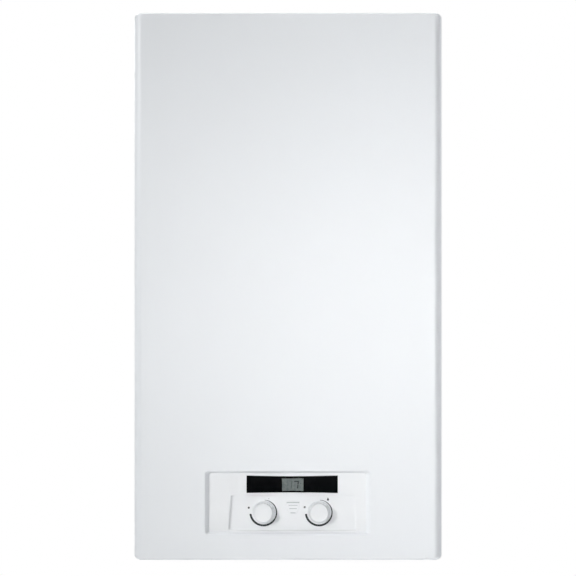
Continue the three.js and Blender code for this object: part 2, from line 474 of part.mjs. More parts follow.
// ---------- water side ----------
{
  const block = (s) => join(
    box(s * 56, s * 160, -108, -152, -334, -290),
    side(21, PORT_Y, -312, Math.min(s * 50, s * 165), Math.max(s * 50, s * 165), 18),
    up(19, s * 65, PORT_Y, BLOCK_BOTTOM, -285, 18), up(21, s * 130, PORT_Y, BLOCK_BOTTOM, -285, 18),
    extrudeFront(roundRect(Math.min(s * 58, s * 94), -330, Math.max(s * 58, s * 94), -272, 5), -150, -165, 1),
    front(12, s * 150, -312, -148, -165, 14));
  piece('water', 'hydraulic_block_return', join(block(1), up(18, 130, -122, -300, -280, 16), up(8, 80, -112, -300, -280, 12)), 'brass');
  piece('water', 'hydraulic_block_flow', cut(join(block(-1), up(16, -95, PORT_Y, -320, -280, 16), up(14, -145, PORT_Y, -300, -270, 14)),
    up(4.6, -95, PORT_Y, -313, -279, 12)), 'brass');
  piece('water', 'diverter_spindle', turnedUp([[0, -300], [3, -300], [4, -299], [4, -250], [0, -250]], 12), 'steel', [-95, PORT_Y, 0]);
  piece('water', 'diverter_motor', cut(join(extrudeUp(roundRect(-118, -152, -72, -108, 5), -262, -224),
    box(-117, -109, -140, -120, -279.7, -260), box(-81, -73, -140, -120, -279.7, -260)),
  up(4.6, -95, PORT_Y, -264, -240, 12)), 'black_plastic');

  piece('water', 'pump_body', cut(join(front(40, PUMP.x, PUMP.z, -98, -140, 24),
    up(17, PUMP.x, -122, -279.7, -240, 16), up(12, 155, PUMP.y, -230, -185, 14), up(7, 105, PUMP.y, -220, -190, 12)),
  front(30, PUMP.x, PUMP.z, -108, -141, 20)), 'grey_plastic');
  const vanes = [];
  for (let i = 0; i < 6; i++) vanes.push(box(6, 25, -1, 1, -7, 9).rotateX(Math.PI / 2).rotateY(i * Math.PI / 3));
  piece('water', 'pump_rotor', join(front(26, 0, 0, 8, 5, 20), front(26, 0, 0, -8, -11, 20), front(7, 0, 0, 6, -10, 12),
    front(2.8, 0, 0, -10, -58, 10), ...vanes), 'steel', [PUMP.x, PUMP.y - 3, PUMP.z]);
  piece('water', 'pump_motor', join(turnedFront([[0, 65], [3.6, 65], [3.6, 21.4], [37, 21.4], [37, 70], [33, 74], [12, 74], [12, 78], [0, 78]], 24),
    box(-22, 18, -32, -66, 30, 52)), 'aluminium', [PUMP.x, PUMP.y, PUMP.z]);
  piece('water', 'auto_air_vent', turnedUp([[0, -189.7], [7, -189.7], [7, -184], [10, -184], [10, -160], [7, -156], [4, -156], [4, -150], [0, -150]], 14), 'brass', [105, PUMP.y, 0]);

  const plates = [];
  for (let i = 0; i < 6; i++) plates.push(extrudeFront(roundRect(-92, -333, 92, -267, 16), -172 - i * 9.2, -176.6 - i * 9.2, 1));
  piece('water', 'plate_heat_exchanger', join(extrudeFront(roundRect(-89.5, -330.5, 89.5, -269.5, 14), -172, -221, 1), ...plates,
    front(9, -76, -316, -165.4, -173, 14), front(9, -76, -285, -165.4, -173, 14),
    front(9, 76, -316, -165.4, -173, 14), front(9, 76, -285, -165.4, -173, 14)), 'steel');

  piece('water', 'flow_pipe', pipe([[-124, -160, 121.7], [-124, -160, 88], [-155, -160, 88], [-155, -160, -190], [-145, PORT_Y, -230], [-145, PORT_Y, -269.7]], 9, 15, 10), 'copper');
  piece('water', 'return_pipe', pipe([[124, -160, 121.7], [124, -160, 88], [155, -160, 88], [155, -160, -120], [155, PUMP.y, -150], [155, PUMP.y, -184.7]], 9, 15, 10), 'copper');

  piece('water', 'safety_valve_body', turnedFront([[0, 165.3], [9, 165.3], [9, 170], [12, 170], [12, 182], [10, 186], [10, 193], [0, 193]], 16), 'brass', [150, 0, -312]);
  piece('water', 'safety_valve_knob', turnedFront([[0, 193.4], [12, 193.4], [13, 195], [13, 211], [11, 214], [0, 214]], 12), 'red_plastic', [150, 0, -312]);
  piece('water', 'water_pressure_sensor', turnedFront([[0, 165.3], [6, 165.3], [6, 168], [11, 168], [11, 175], [8, 175], [8, 192], [5.5, 192], [5.5, 202], [0, 202]], 12), 'brass', [-150, 0, -312]);
  piece('water', 'filling_tap_body', cut(join(up(10, 65, -180, -358, -335, 16), front(5.5, 65, -341, -150.5, -175, 12)), up(4.6, 65, -180, -359, -345, 12)), 'brass');
  piece('water', 'filling_tap_knob', turnedUp([[0, -380], [10, -380], [12, -378], [12, -368], [10, -366], [4, -366], [4, -347], [0, -347]], 12), 'blue_plastic', [65, -180, 0]);
}

export default boiler;
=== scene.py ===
import bpy, bmesh, json, math
from mathutils import Vector, Matrix


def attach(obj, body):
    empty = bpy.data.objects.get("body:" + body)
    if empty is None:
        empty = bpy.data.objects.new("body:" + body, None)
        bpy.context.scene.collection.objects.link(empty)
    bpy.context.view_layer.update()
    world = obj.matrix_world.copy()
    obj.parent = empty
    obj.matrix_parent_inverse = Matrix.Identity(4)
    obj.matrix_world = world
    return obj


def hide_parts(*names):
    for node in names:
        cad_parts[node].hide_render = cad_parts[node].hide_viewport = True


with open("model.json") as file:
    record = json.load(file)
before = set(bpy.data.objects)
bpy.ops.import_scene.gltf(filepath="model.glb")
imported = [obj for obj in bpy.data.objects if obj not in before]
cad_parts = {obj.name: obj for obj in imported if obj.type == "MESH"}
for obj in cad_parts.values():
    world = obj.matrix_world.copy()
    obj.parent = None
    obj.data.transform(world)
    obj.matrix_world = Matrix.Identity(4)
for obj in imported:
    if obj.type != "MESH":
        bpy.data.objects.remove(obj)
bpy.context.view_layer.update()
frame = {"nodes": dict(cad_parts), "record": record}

# Lengths below are in millimetres, in the frame of the CAD model, and become metres when a mesh is made.
MM = 0.001
scene = bpy.context.scene
scene.view_settings.view_transform = "Standard"
scene.view_settings.look = "None"

# ------------------------------------------------------------------ camera
FRONT_Y = -315.0
CAM_DIST = 2300.0
PX = 1.3300                       # millimetres a pixel at the casing's front, image 576 x 576
cam_data = bpy.data.cameras.new("camera")
cam_data.sensor_width = 36.0
cam_data.lens = 36.0 * CAM_DIST / (576.0 * PX)
cam_data.clip_start = 0.05
cam_data.clip_end = 60.0
cam_data.dof.use_dof = False
cam = bpy.data.objects.new("camera", cam_data)
scene.collection.objects.link(cam)
cam.location = (-0.0001, (FRONT_Y - CAM_DIST) * MM, -0.0021)
cam.rotation_euler = (math.pi / 2, 0.0, 0.0)
scene.camera = cam


# ------------------------------------------------------------------ materials
def lin(r, g, b):
    def f(v):
        v /= 255.0
        return v / 12.92 if v <= 0.04045 else ((v + 0.055) / 1.055) ** 2.4
    return (f(r), f(g), f(b), 1.0)


class Mat:
    """A small helper round a node tree with one Principled shader."""
    def __init__(self, name, metallic=0.0, rough=0.5, coat=0.0, coat_rough=0.1, ior=1.5, spec=0.5):
        self.m = bpy.data.materials.new(name)
        self.m.use_nodes = True
        self.t = self.m.node_tree
        self.b = self.t.nodes["Principled BSDF"]
        self.b.inputs["Metallic"].default_value = metallic
        self.b.inputs["Roughness"].default_value = rough
        self.b.inputs["Coat Weight"].default_value = coat
        self.b.inputs["Coat Roughness"].default_value = coat_rough
        self.b.inputs["IOR"].default_value = ior
        self.b.inputs["Specular IOR Level"].default_value = spec
        self.coord = self.t.nodes.new("ShaderNodeTexCoord")

    def mapped(self, scale=(1, 1, 1)):
        n = self.t.nodes.new("ShaderNodeMapping")
        n.inputs["Scale"].default_value = scale
        self.t.links.new(self.coord.outputs["Object"], n.inputs["Vector"])
        return n.outputs["Vector"]

    def noise(self, scale, detail=2.0, rough=0.5, stretch=(1, 1, 1), distortion=0.0):
        n = self.t.nodes.new("ShaderNodeTexNoise")
        n.inputs["Scale"].default_value = scale
        n.inputs["Detail"].default_value = detail
        n.inputs["Roughness"].default_value = rough
        n.inputs["Distortion"].default_value = distortion
        self.t.links.new(self.mapped(stretch), n.inputs["Vector"])
        return n.outputs["Fac"]

    def voronoi(self, scale, out="Color", feature="F1", stretch=(1, 1, 1)):
        n = self.t.nodes.new("ShaderNodeTexVoronoi")
        n.feature = feature
        n.inputs["Scale"].default_value = scale
        self.t.links.new(self.mapped(stretch), n.inputs["Vector"])
        return n.outputs[out]

    def ramp(self, fac, stops):
        n = self.t.nodes.new("ShaderNodeValToRGB")
        e = n.color_ramp.elements
        while len(e) < len(stops):
            e.new(0.5)
        for i, (p, c) in enumerate(stops):
            e[i].position = p
            e[i].color = c
        self.t.links.new(fac, n.inputs["Fac"])
        return n.outputs["Color"]

    def range(self, value, lo, hi, f0=0.25, f1=0.75):
        n = self.t.nodes.new("ShaderNodeMapRange")
        n.inputs["From Min"].default_value = f0
        n.inputs["From Max"].default_value = f1
        n.inputs["To Min"].default_value = lo
        n.inputs["To Max"].default_value = hi
        self.t.links.new(value, n.inputs["Value"])
        return n.outputs["Result"]

    def color(self, out):
        self.t.links.new(out, self.b.inputs["Base Color"])
        return self

    def rough(self, out):
        self.t.links.new(out, self.b.inputs["Roughness"])
        return self

    def bump(self, height, strength=0.2, distance=0.0002):
        n = self.t.nodes.new("ShaderNodeBump")
        n.inputs["Strength"].default_value = strength
        n.inputs["Distance"].default_value = distance
        self.t.links.new(height, n.inputs["Height"])
        self.t.links.new(n.outputs["Normal"], self.b.inputs["Normal"])
        return self


def shade(c, k):
    return (c[0] * k, c[1] * k, c[2] * k, 1.0)


def powder_coat(name, c, spec=0.5):
    k = Mat(name, rough=0.4, spec=spec, coat=0.12, coat_rough=0.28)
    k.color(k.ramp(k.noise(4.0, 3.0), [(0.3, shade(c, 0.985)), (0.7, shade(c, 1.0))]))
    k.rough(k.range(k.noise(60.0, 3.0), 0.31, 0.39))
    k.bump(k.noise(620.0, 2.0, 0.45), 0.10, 0.00012)
    return k.m


def moulded(name, c, r0=0.3, r1=0.42, grain=900.0, depth=0.00004, strength=0.12, spec=0.45):
    k = Mat(name, rough=0.4, spec=spec)
    k.color(k.ramp(k.noise(14.0, 3.0), [(0.3, shade(c, 0.97)), (0.7, shade(c, 1.0))]))
    k.rough(k.range(k.noise(110.0, 3.0), r0, r1))
    k.bump(k.noise(grain, 3.0, 0.6), strength, depth)
    return k.m


def galvanised(name="galvanised"):
    k = Mat(name, metallic=1.0, rough=0.5)
    cells = k.voronoi(95.0)
    sep = k.t.nodes.new("ShaderNodeSeparateColor")
    k.t.links.new(cells, sep.inputs["Color"])
    k.color(k.ramp(sep.outputs["Red"], [(0.0, lin(186, 190, 193)), (0.5, lin(197, 200, 203)), (1.0, lin(208, 211, 213))]))
    k.rough(k.range(sep.outputs["Green"], 0.46, 0.56, 0.0, 1.0))
    k.bump(k.noise(260.0, 4.0), 0.08, 0.00008)
    return k.m


def metal(name, c0, c1, r0, r1, scale=120.0, stretch=(1, 1, 1), strength=0.08, depth=0.00005):
    k = Mat(name, metallic=1.0, rough=0.35)
    n = k.noise(scale, 4.0, 0.6, stretch)
    k.color(k.ramp(k.noise(18.0, 4.0, 0.6), [(0.32, c0), (0.68, c1)]))
    k.rough(k.range(n, r0, r1))
    k.bump(n, strength, depth)
    return k.m


M = {}
WHITE = lin(238, 241, 244)
M["white_coat"] = powder_coat("white_coat", WHITE)
M["white_plastic"] = moulded("white_plastic", lin(243, 245, 247), 0.30, 0.40, 1500.0, 0.00002, 0.10)
M["galvanised"] = galvanised()
M["aluminium"] = metal("aluminium", lin(176, 179, 182), lin(200, 202, 204), 0.38, 0.55, 700.0, (1, 1, 1), 0.22, 0.00012)
M["steel"] = metal("steel", lin(178, 180, 182), lin(202, 203, 204), 0.22, 0.38, 260.0, (1, 1, 9), 0.08, 0.00004)
M["copper"] = metal("copper", lin(168, 98, 66), lin(206, 128, 92), 0.22, 0.40, 140.0)
M["brass"] = metal("brass", lin(186, 150, 88), lin(214, 182, 116), 0.22, 0.36, 300.0)
M["red_paint"] = moulded("red_paint", lin(150, 32, 26), 0.28, 0.40, 420.0, 0.00012, 0.14)
M["grey_plastic"] = moulded("grey_plastic", lin(112, 117, 122), 0.45, 0.60, 1100.0, 0.00005, 0.25)
M["black_plastic"] = moulded("black_plastic", lin(34, 35, 37), 0.42, 0.58, 1100.0, 0.00005, 0.25)
M["red_plastic"] = moulded("red_plastic", lin(190, 34, 26), 0.30, 0.42)
M["blue_plastic"] = moulded("blue_plastic", lin(30, 76, 156), 0.30, 0.42)
M["rubber"] = moulded("rubber", lin(30, 30, 31), 0.70, 0.88, 700.0, 0.00008, 0.3, 0.3)
M["ceramic"] = moulded("ceramic", lin(232, 226, 214), 0.35, 0.55, 500.0, 0.00004, 0.15)
M["fibre"] = moulded("fibre", lin(214, 206, 190), 0.85, 0.97, 320.0, 0.0004, 0.6, 0.2)


def gloss_black():
    k = Mat("gloss_black", rough=0.08, spec=0.15)
    k.color(k.ramp(k.noise(30.0, 2.0), [(0.3, lin(2, 3, 4)), (0.7, lin(5, 7, 9))]))
    k.rough(k.range(k.noise(160.0, 2.0), 0.05, 0.10))
    return k.m


def lcd_face():
    k = Mat("lcd", rough=0.3, spec=0.3)
    k.color(k.ramp(k.noise(150.0, 2.0, 0.5, (1.6, 1, 0.5)), [(0.3, lin(86, 96, 95)), (0.7, lin(102, 112, 110))]))
    k.rough(k.range(k.noise(200.0, 2.0), 0.22, 0.34))
    return k.m


def print_dark():
    k = Mat("print_dark", rough=0.5, spec=0.3)
    k.color(k.ramp(k.noise(400.0, 2.0), [(0.3, lin(38, 43, 46)), (0.7, lin(48, 54, 57))]))
    k.rough(k.range(k.noise(300.0, 2.0), 0.42, 0.55))
    return k.m


def print_faint():
    k = Mat("print_faint", rough=0.5, spec=0.3)
    k.color(k.ramp(k.noise(400.0, 2.0), [(0.3, lin(62, 71, 72)), (0.7, lin(70, 80, 80))]))
    k.rough(k.range(k.noise(300.0, 2.0), 0.42, 0.55))
    return k.m


# Grey for painted shade on the mode button: shadow lines at its top and bottom edges, and two lines standing in for
# grooves.
def painted_shade_grey():
    k = Mat("painted_shade_grey", rough=0.5, spec=0.3)
    k.color(k.ramp(k.noise(400.0, 2.0), [(0.3, lin(176, 182, 184)), (0.7, lin(186, 192, 194))]))
    k.rough(k.range(k.noise(300.0, 2.0), 0.42, 0.55))
    return k.m


def clear_glass():
    k = Mat("glass", rough=0.05, ior=1.5)
    k.b.inputs["Transmission Weight"].default_value = 1.0
    k.color(k.ramp(k.noise(20.0, 2.0), [(0.3, lin(224, 234, 232)), (0.7, lin(236, 244, 242))]))
    k.rough(k.range(k.noise(90.0, 2.0), 0.02, 0.08))
    return k.m


def circuit_board():
    k = Mat("board", rough=0.4, spec=0.5, coat=0.3, coat_rough=0.2)
    tracks = k.voronoi(160.0, "Distance", "DISTANCE_TO_EDGE", (1, 1, 1))
    k.color(k.ramp(tracks, [(0.04, lin(66, 128, 78)), (0.08, lin(24, 84, 46))]))
    k.rough(k.range(k.noise(80.0, 2.0), 0.3, 0.45))
    k.bump(tracks, 0.15, 0.00005)
    return k.m


M["gloss_black"] = gloss_black()
M["lcd"] = lcd_face()
M["print_dark"] = print_dark()
M["painted_shade_grey"] = painted_shade_grey()
M["print_faint"] = print_faint()
M["glass"] = clear_glass()
M["board"] = circuit_board()

# every carried-over CAD node gets its finish
SLOT = {s["node"]: s["material_slot"] for s in frame["record"]["subparts"]}
for node, ob in frame["nodes"].items():
    m = M[SLOT[node]]
    if not ob.data.materials:
        ob.data.materials.append(m)
    for i in range(len(ob.material_slots)):
        ob.material_slots[i].material = m


# ------------------------------------------------------------------ mesh helpers
def bm_new():
    return bmesh.new()


def face(bm, verts):
    vs = []
    for v in verts:
        if v not in vs:
            vs.append(v)
    if len(vs) >= 3:
        try:
            return bm.faces.new(vs)
        except ValueError:
            return None


def lathe(profile, sides=64, ring=False):
    """Profile of (radius, height) round the +Z axis; closed on the axis, or on itself with ring=True."""
    bm = bm_new()
    rows = []
    for r, h in profile:
        if r < 1e-6:
            rows.append([bm.verts.new((0, 0, h))] * sides)
        else:
            rows.append([bm.verts.new((r * math.cos(2 * math.pi * i / sides), r * math.sin(2 * math.pi * i / sides), h)) for i in range(sides)])
    last = len(rows) if ring else len(rows) - 1
    for j in range(last):
        a, b = rows[j], rows[(j + 1) % len(rows)]
        if a[0] is a[1] and b[0] is b[1]:
            continue
        for i in range(sides):
            k = (i + 1) % sides
            face(bm, [a[i], a[k], b[k], b[i]])
    bmesh.ops.recalc_face_normals(bm, faces=bm.faces)
    return bm


def prism(points, lo, hi):
    """An outline in (x, y), from z = lo to z = hi."""
    bm = bm_new()
    a = [bm.verts.new((x, y, lo)) for x, y in points]
    b = [bm.verts.new((x, y, hi)) for x, y in points]
    n = len(points)
    for i in range(n):
        face(bm, [a[i], a[(i + 1) % n], b[(i + 1) % n], b[i]])
    bm.faces.new(list(reversed(a)))
    bm.faces.new(b)
    bmesh.ops.recalc_face_normals(bm, faces=bm.faces)
    return bm


def box(x0, x1, y0, y1, z0, z1):
    return prism([(min(x0, x1), min(y0, y1)), (max(x0, x1), min(y0, y1)), (max(x0, x1), max(y0, y1)), (min(x0, x1), max(y0, y1))], min(z0, z1), max(z0, z1))


def round_rect(a0, b0, a1, b1, r, k=8):
    pts = []
    for cx, cy, t0 in ((a1 - r, b1 - r, 0), (a0 + r, b1 - r, 90), (a0 + r, b0 + r, 180), (a1 - r, b0 + r, 270)):
        for i in range(k + 1):
            t = math.radians(t0 + 90.0 * i / k)
            pts.append((cx + r * math.cos(t), cy + r * math.sin(t)))
    return pts


def moved(bm, x=0.0, y=0.0, z=0.0):
    bmesh.ops.translate(bm, verts=bm.verts, vec=(x, y, z))
    return bm


def turned(bm, matrix):
    bmesh.ops.transform(bm, matrix=matrix, verts=bm.verts)
    return bm


R_FRONT = Matrix.Rotation(math.pi / 2, 4, "X")            # +Z to -Y: height becomes the distance forwards
R_SIDE = Matrix.Rotation(math.pi / 2, 4, "Y")             # +Z to +X
SWAP = Matrix(((0, 0, 1, 0), (1, 0, 0, 0), (0, 1, 0, 0), (0, 0, 0, 1)))  # (a, b, c) to (c, a, b)


def front_prism(points, y_back, y_front):
    """An outline in (x, z), between two depths."""
    bm = prism(points, 0.0, abs(y_back - y_front))
    turned(bm, R_FRONT)
    return moved(bm, y=max(y_back, y_front))


def side_prism(points, x0, x1):
    """An outline in (y, z), from x0 to x1."""
    return turned(prism(points, min(x0, x1), max(x0, x1)), SWAP)


def up(r, x, y, z0, z1, sides=48):
    return moved(lathe([(0, z0), (r, z0), (r, z1), (0, z1)], sides), x, y)


def front(r, x, z, y_back, y_front, sides=48):
    bm = turned(lathe([(0, 0), (r, 0), (r, abs(y_back - y_front)), (0, abs(y_back - y_front))], sides), R_FRONT)
    return moved(bm, x, max(y_back, y_front), z)


def side(r, y, z, x0, x1, sides=48):
    bm = turned(lathe([(0, 0), (r, 0), (r, abs(x1 - x0)), (0, abs(x1 - x0))], sides), R_SIDE)
    return moved(bm, min(x0, x1), y, z)


def front_lathe(profile, x, z, sides=64, ring=False, y=0.0):
    """Profile heights are distances forwards of y."""
    return moved(turned(lathe(profile, sides, ring), R_FRONT), x, y, z)


def up_lathe(profile, x, y, sides=64, ring=False):
    return moved(lathe(profile, sides, ring), x, y)


def pipe(points, r, bend, sides=24, steps=8):
    v = [Vector(p) for p in points]
    at, dr = [v[0]], [(v[1] - v[0]).normalized()]
    for i in range(1, len(v) - 1):
        a_dir, b_dir = (v[i] - v[i - 1]).normalized(), (v[i + 1] - v[i]).normalized()
        a, b = v[i] - a_dir * bend, v[i] + b_dir * bend
        for k in range(steps + 1):
            t = k / steps
            at.append(a * (1 - t) ** 2 + v[i] * 2 * t * (1 - t) + b * t * t)
            dr.append((a_dir * (1 - t) + b_dir * t).normalized())
    at.append(v[-1])
    dr.append((v[-1] - v[-2]).normalized())
    bm = bm_new()
    ref = Vector((0, 0, 1)) if abs(dr[0].z) < 0.9 else Vector((1, 0, 0))
    n = dr[0].cross(ref).normalized()
    rows = []
    for p, d in zip(at, dr):
        n = (n - d * n.dot(d)).normalized()
        m = d.cross(n)
        rows.append([bm.verts.new(p + n * r * math.cos(2 * math.pi * i / sides) + m * r * math.sin(2 * math.pi * i / sides)) for i in range(sides)])
    for a, b in zip(rows, rows[1:]):
        for i in range(sides):
            face(bm, [a[i], a[(i + 1) % sides], b[(i + 1) % sides], b[i]])
    bm.faces.new(rows[0])
    bm.faces.new(rows[-1])
    bmesh.ops.recalc_face_normals(bm, faces=bm.faces)
    return bm


def to_object(bm, name):
    me = bpy.data.meshes.new(name)
    bm.to_mesh(me)
    bm.free()
    ob = bpy.data.objects.new(name, me)
    scene.collection.objects.link(ob)
    return ob


def from_object(ob):
    """The object's evaluated mesh as a bmesh; the object goes."""
    bpy.context.view_layer.update()
    ev = ob.evaluated_get(bpy.context.evaluated_depsgraph_get())
    bm = bm_new()
    bm.from_mesh(ev.to_mesh())
    ev.to_mesh_clear()
    me = ob.data
    bpy.data.objects.remove(ob)
    bpy.data.meshes.remove(me)
    return bm


def boolean(base, others, operation):
    a = to_object(base, "tmp_a")
    tools = []
    for i, bm in enumerate(others):
        b = to_object(bm, "tmp_b%d" % i)
        tools.append(b)
        mod = a.modifiers.new("b%d" % i, "BOOLEAN")
        mod.operation = operation
        mod.solver = "MANIFOLD"
        mod.object = b
    out = from_object(a)
    for b in tools:
        me = b.data
        bpy.data.objects.remove(b)
        bpy.data.meshes.remove(me)
    return out


def join(base, *others):
    return boolean(base, others, "UNION")


def cut(base, *others):
    return boolean(base, others, "DIFFERENCE")


def merged(*bms):
    """Several separate shells in one mesh, such as a print's marks."""
    out = bms[0]
    for bm in bms[1:]:
        me = bpy.data.meshes.new("tmp")
        bm.to_mesh(me)
        bm.free()
        out.from_mesh(me)
        bpy.data.meshes.remove(me)
    return out


def rounded(bm, width, segments=2, angle=28.0):
    """The mesh with its sharp edges rounded, width in millimetres."""
    ob = to_object(bm, "tmp_round")
    mod = ob.modifiers.new("edge", "BEVEL")
    mod.width = width
    mod.segments = segments
    mod.limit_method = "ANGLE"
    mod.angle_limit = math.radians(angle)
    mod.miter_outer = "MITER_ARC"
    mod.harden_normals = False
    mod.use_clamp_overlap = True
    return from_object(ob)


def piece(name, bm, material, body, node=None, bevel=0.0, segments=2, angle=28.0, smooth=32.0):
    """A finished piece: scaled to metres, shaded, given its finish, and riding on its body."""
    bmesh.ops.remove_doubles(bm, verts=bm.verts, dist=0.0004)
    bmesh.ops.dissolve_degenerate(bm, edges=bm.edges, dist=0.0004)
    bmesh.ops.scale(bm, vec=(MM, MM, MM), verts=bm.verts)
    ob = to_object(bm, name)
    me = ob.data
    me.materials.append(M[material])
    if bevel > 0:
        mod = ob.modifiers.new("edge", "BEVEL")
        mod.width = bevel * MM
        mod.segments = segments
        mod.limit_method = "ANGLE"
        mod.angle_limit = math.radians(angle)
        mod.miter_outer = "MITER_ARC"
        mod.harden_normals = False
        mod.use_clamp_overlap = True
        bm2 = from_object(ob)
        ob = to_object(bm2, name)
        me = ob.data
        me.name = name
    me.polygons.foreach_set("use_smooth", [True] * len(me.polygons))
    me.set_sharp_from_angle(angle=math.radians(smooth))
    mod = ob.modifiers.new("normals", "WEIGHTED_NORMAL")
    mod.keep_sharp = True
    mod.weight = 90
    if not me.materials:
        me.materials.append(M[material])
    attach(ob, body)
    if node:
        for n in ([node] if isinstance(node, str) else node):
            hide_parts(n)
    return ob


def strips(sections, close=True):
    """A tube of rings with the same number of points, joined one to the next."""
    bm = bm_new()
    rows = [[bm.verts.new(p) for p in ring] for ring in sections]
    for a, b in zip(rows, rows[1:]):
        n = len(a)
        for i in range(n if close else n - 1):
            face(bm, [a[i], a[(i + 1) % n], b[(i + 1) % n], b[i]])
    return bm, rows


# ------------------------------------------------------------------ driving sizes, as in the CAD model
HX, HZ = 205.0, 364.0
SEAM_Y = -240.6
SHEET = 1.2
FF = -309.6                                                # front face of the fascia, behind the casing's front
FLOOR_Y = FF + 3.0                                         # floor of the recess with the knobs
AX0, AX1, AZ0, AZ1 = -105.4, 104.2, -327.6, -248.6         # opening of the casing, inside its rolled edge
ROLL_SIDE, ROLL_END, ROLL_DEPTH = 6.1, 3.2, 4.8
KNOB_Z = -301.3
KNOB_X = (-32.9, 41.1)
ROOT = "chassis"

# ------------------------------------------------------------------ front casing
def casing_ring(y, hx, hz, rc, k=8):
    return [(x, y, z) for x, z in round_rect(-hx, -hz, hx, hz, rc, k)]


def make_casing():
    rings = [casing_ring(SEAM_Y, HX, HZ, 6.0), casing_ring(SEAM_Y - 10, HX, HZ, 6.0), casing_ring(-290, HX, HZ, 6.0), casing_ring(-304.0, HX, HZ, 6.0)]
    R, T = 11.0, 2.6                                       # side edges, top and bottom edges
    n = 12
    for i in range(1, n + 1):
        a = math.pi / 2 * i / n
        y = -304.0 - R * math.sin(a)
        hx = HX - R + R * math.cos(a)
        d = -312.4 - y                                     # how far into the small edge at top and bottom
        hz = HZ if d <= 0 else HZ - T + math.sqrt(max(T * T - d * d, 0.0))
        rc = 6.0 - 2.4 * (1 - math.cos(a))
        rings.append(casing_ring(y, hx, hz, rc))
    # flat front, in to the opening's rolled edge
    def ap(u, y):
        r = 2.6 + 2 * u
        return [(x, y, z) for x, z in round_rect(AX0 - ROLL_SIDE * u, AZ0 - ROLL_END * u, AX1 + ROLL_SIDE * u, AZ1 + ROLL_END * u, r, 8)]
    rings.append(ap(1.04, FRONT_Y))
    for i in range(0, 15):
        w = i / 14
        d = w * w / 0.76 if w < 0.38 else 0.19 + (w - 0.38)
        rings.append(ap(1 - w, FRONT_Y + ROLL_DEPTH * d / 0.81))
    bm, rows = strips(rings)
    bmesh.ops.recalc_face_normals(bm, faces=bm.faces)
    # the sheet's thickness, inwards
    ob = to_object(bm, "tmp_casing")
    bpy.context.view_layer.update()
    me = ob.data
    # faces point outwards: the front face must look along -Y
    big = max(me.polygons, key=lambda p: p.area)
    if big.normal.y > 0 and abs(big.normal.y) > 0.5 or (abs(big.normal.y) <= 0.5 and big.normal.dot(Vector((big.center.x, 0, big.center.z))) < 0):
        me.flip_normals()
    mod = ob.modifiers.new("sheet", "SOLIDIFY")
    mod.thickness = SHEET
    mod.offset = -1.0
    mod.use_even_offset = True
    bm = from_object(ob)
    # hems down both rear edges
    hems = []
    for s in (-1, 1):
        hems.append(box(s * 196.2, s * (HX - 0.9), -241.8, SEAM_Y, -HZ + 8, HZ - 8))
    bm = merged(bm, *hems)
    # holes of the two lower screws are under the heads and stay covered by them
    return bm


casing = piece("front_casing_shell", make_casing(), "white_coat", "front_casing", "front_casing", smooth=28.0)

# ------------------------------------------------------------------ fascia
def make_fascia():
    body = join(front_prism(round_rect(-189, -350, 189, -229.5, 3, 6), -307, FF),
                front_prism(round_rect(-107.5, -330.2, 110.0, -247.2, 4, 8), FF + 14, FF + 1))
    recess = front_prism([(-76.5, -278.5), (88.5, -278.5), (91, -326.0), (-80, -326.0)], FLOOR_Y, FF - 2)
    window = front_prism(window_outline(0.3), FF + 7, FF - 2)
    hollow = box(-103, 105.5, FF + 5.5, FF + 15, -326.2, -251)
    body = rounded(cut(body, hollow, recess, window), 0.45, 3, 40)
    # the crisp cuts: holes of the knob shafts and the button, and the seam along the recess
    return cut(body, front(4.4, KNOB_X[0], KNOB_Z, FF + 7, FF + 1), front(4.4, KNOB_X[1], KNOB_Z, FF + 7, FF + 1),
               front_prism([(-70.0, -325.9), (-30.0, -325.4), (90.4, -325.0), (90.4, -326.1), (-70.0, -326.1)], FLOOR_Y + 1.6, FLOOR_Y - 1.0),
               front_prism([(-76.3, -278.9), (-74.0, -278.3), (30.0, -278.3), (30.0, -278.6), (-40.0, -278.8)], FLOOR_Y + 1.3, FLOOR_Y - 1.2),
               front_prism(shield(1.018), FF + 7, FF + 1))


def window_outline(o=0.0):
    """The display strip: its upper edge dips and its lower edge rises slightly towards the middle."""
    x0, x1, z0, z1 = -55.2 - o, 66.1 + o, -275.3 - o, -252.3 + o
    pts = []
    n = 24
    for i in range(n + 1):
        u = i / n
        pts.append((x0 + (x1 - x0) * u, z0 + 0.8 * math.sin(math.pi * u)))
    for i in range(n + 1):
        u = i / n
        pts.append((x1 + (x0 - x1) * u, z1 - 0.95 * math.sin(math.pi * u)))
    return pts


SHIELD = [(-2.3, -287.7), (15.5, -287.7), (15.3, -291), (14.6, -295), (13.1, -299), (10.9, -303.2), (2.3, -303.2), (0.1, -299), (-1.4, -295), (-2.1, -291)]


def shield(k=1.0):
    return [(6.6 + (x - 6.6) * k, -295.4 + (z + 295.4) * k) for x, z in SHIELD]


fascia = piece("fascia_moulding", make_fascia(), "white_plastic", ROOT, "control_fascia")

# display strip with its LCD and two digits
win = cut(front_prism(window_outline(), FF + 5, FF + 0.1), box(-8.2, 20.6, FF + 6, FF - 1, -272.9, -255.8))
piece("display_glass", win, "gloss_black", ROOT, "display_window", bevel=0.25)
piece("lcd_panel", join(box(-7.9, 20.3, FF + 9, FF + 0.6, -272.6, -256.1), box(-14, 26, FF + 11, FF + 5.8, -275, -254)), "lcd", ROOT, "lcd_module", bevel=0.15)


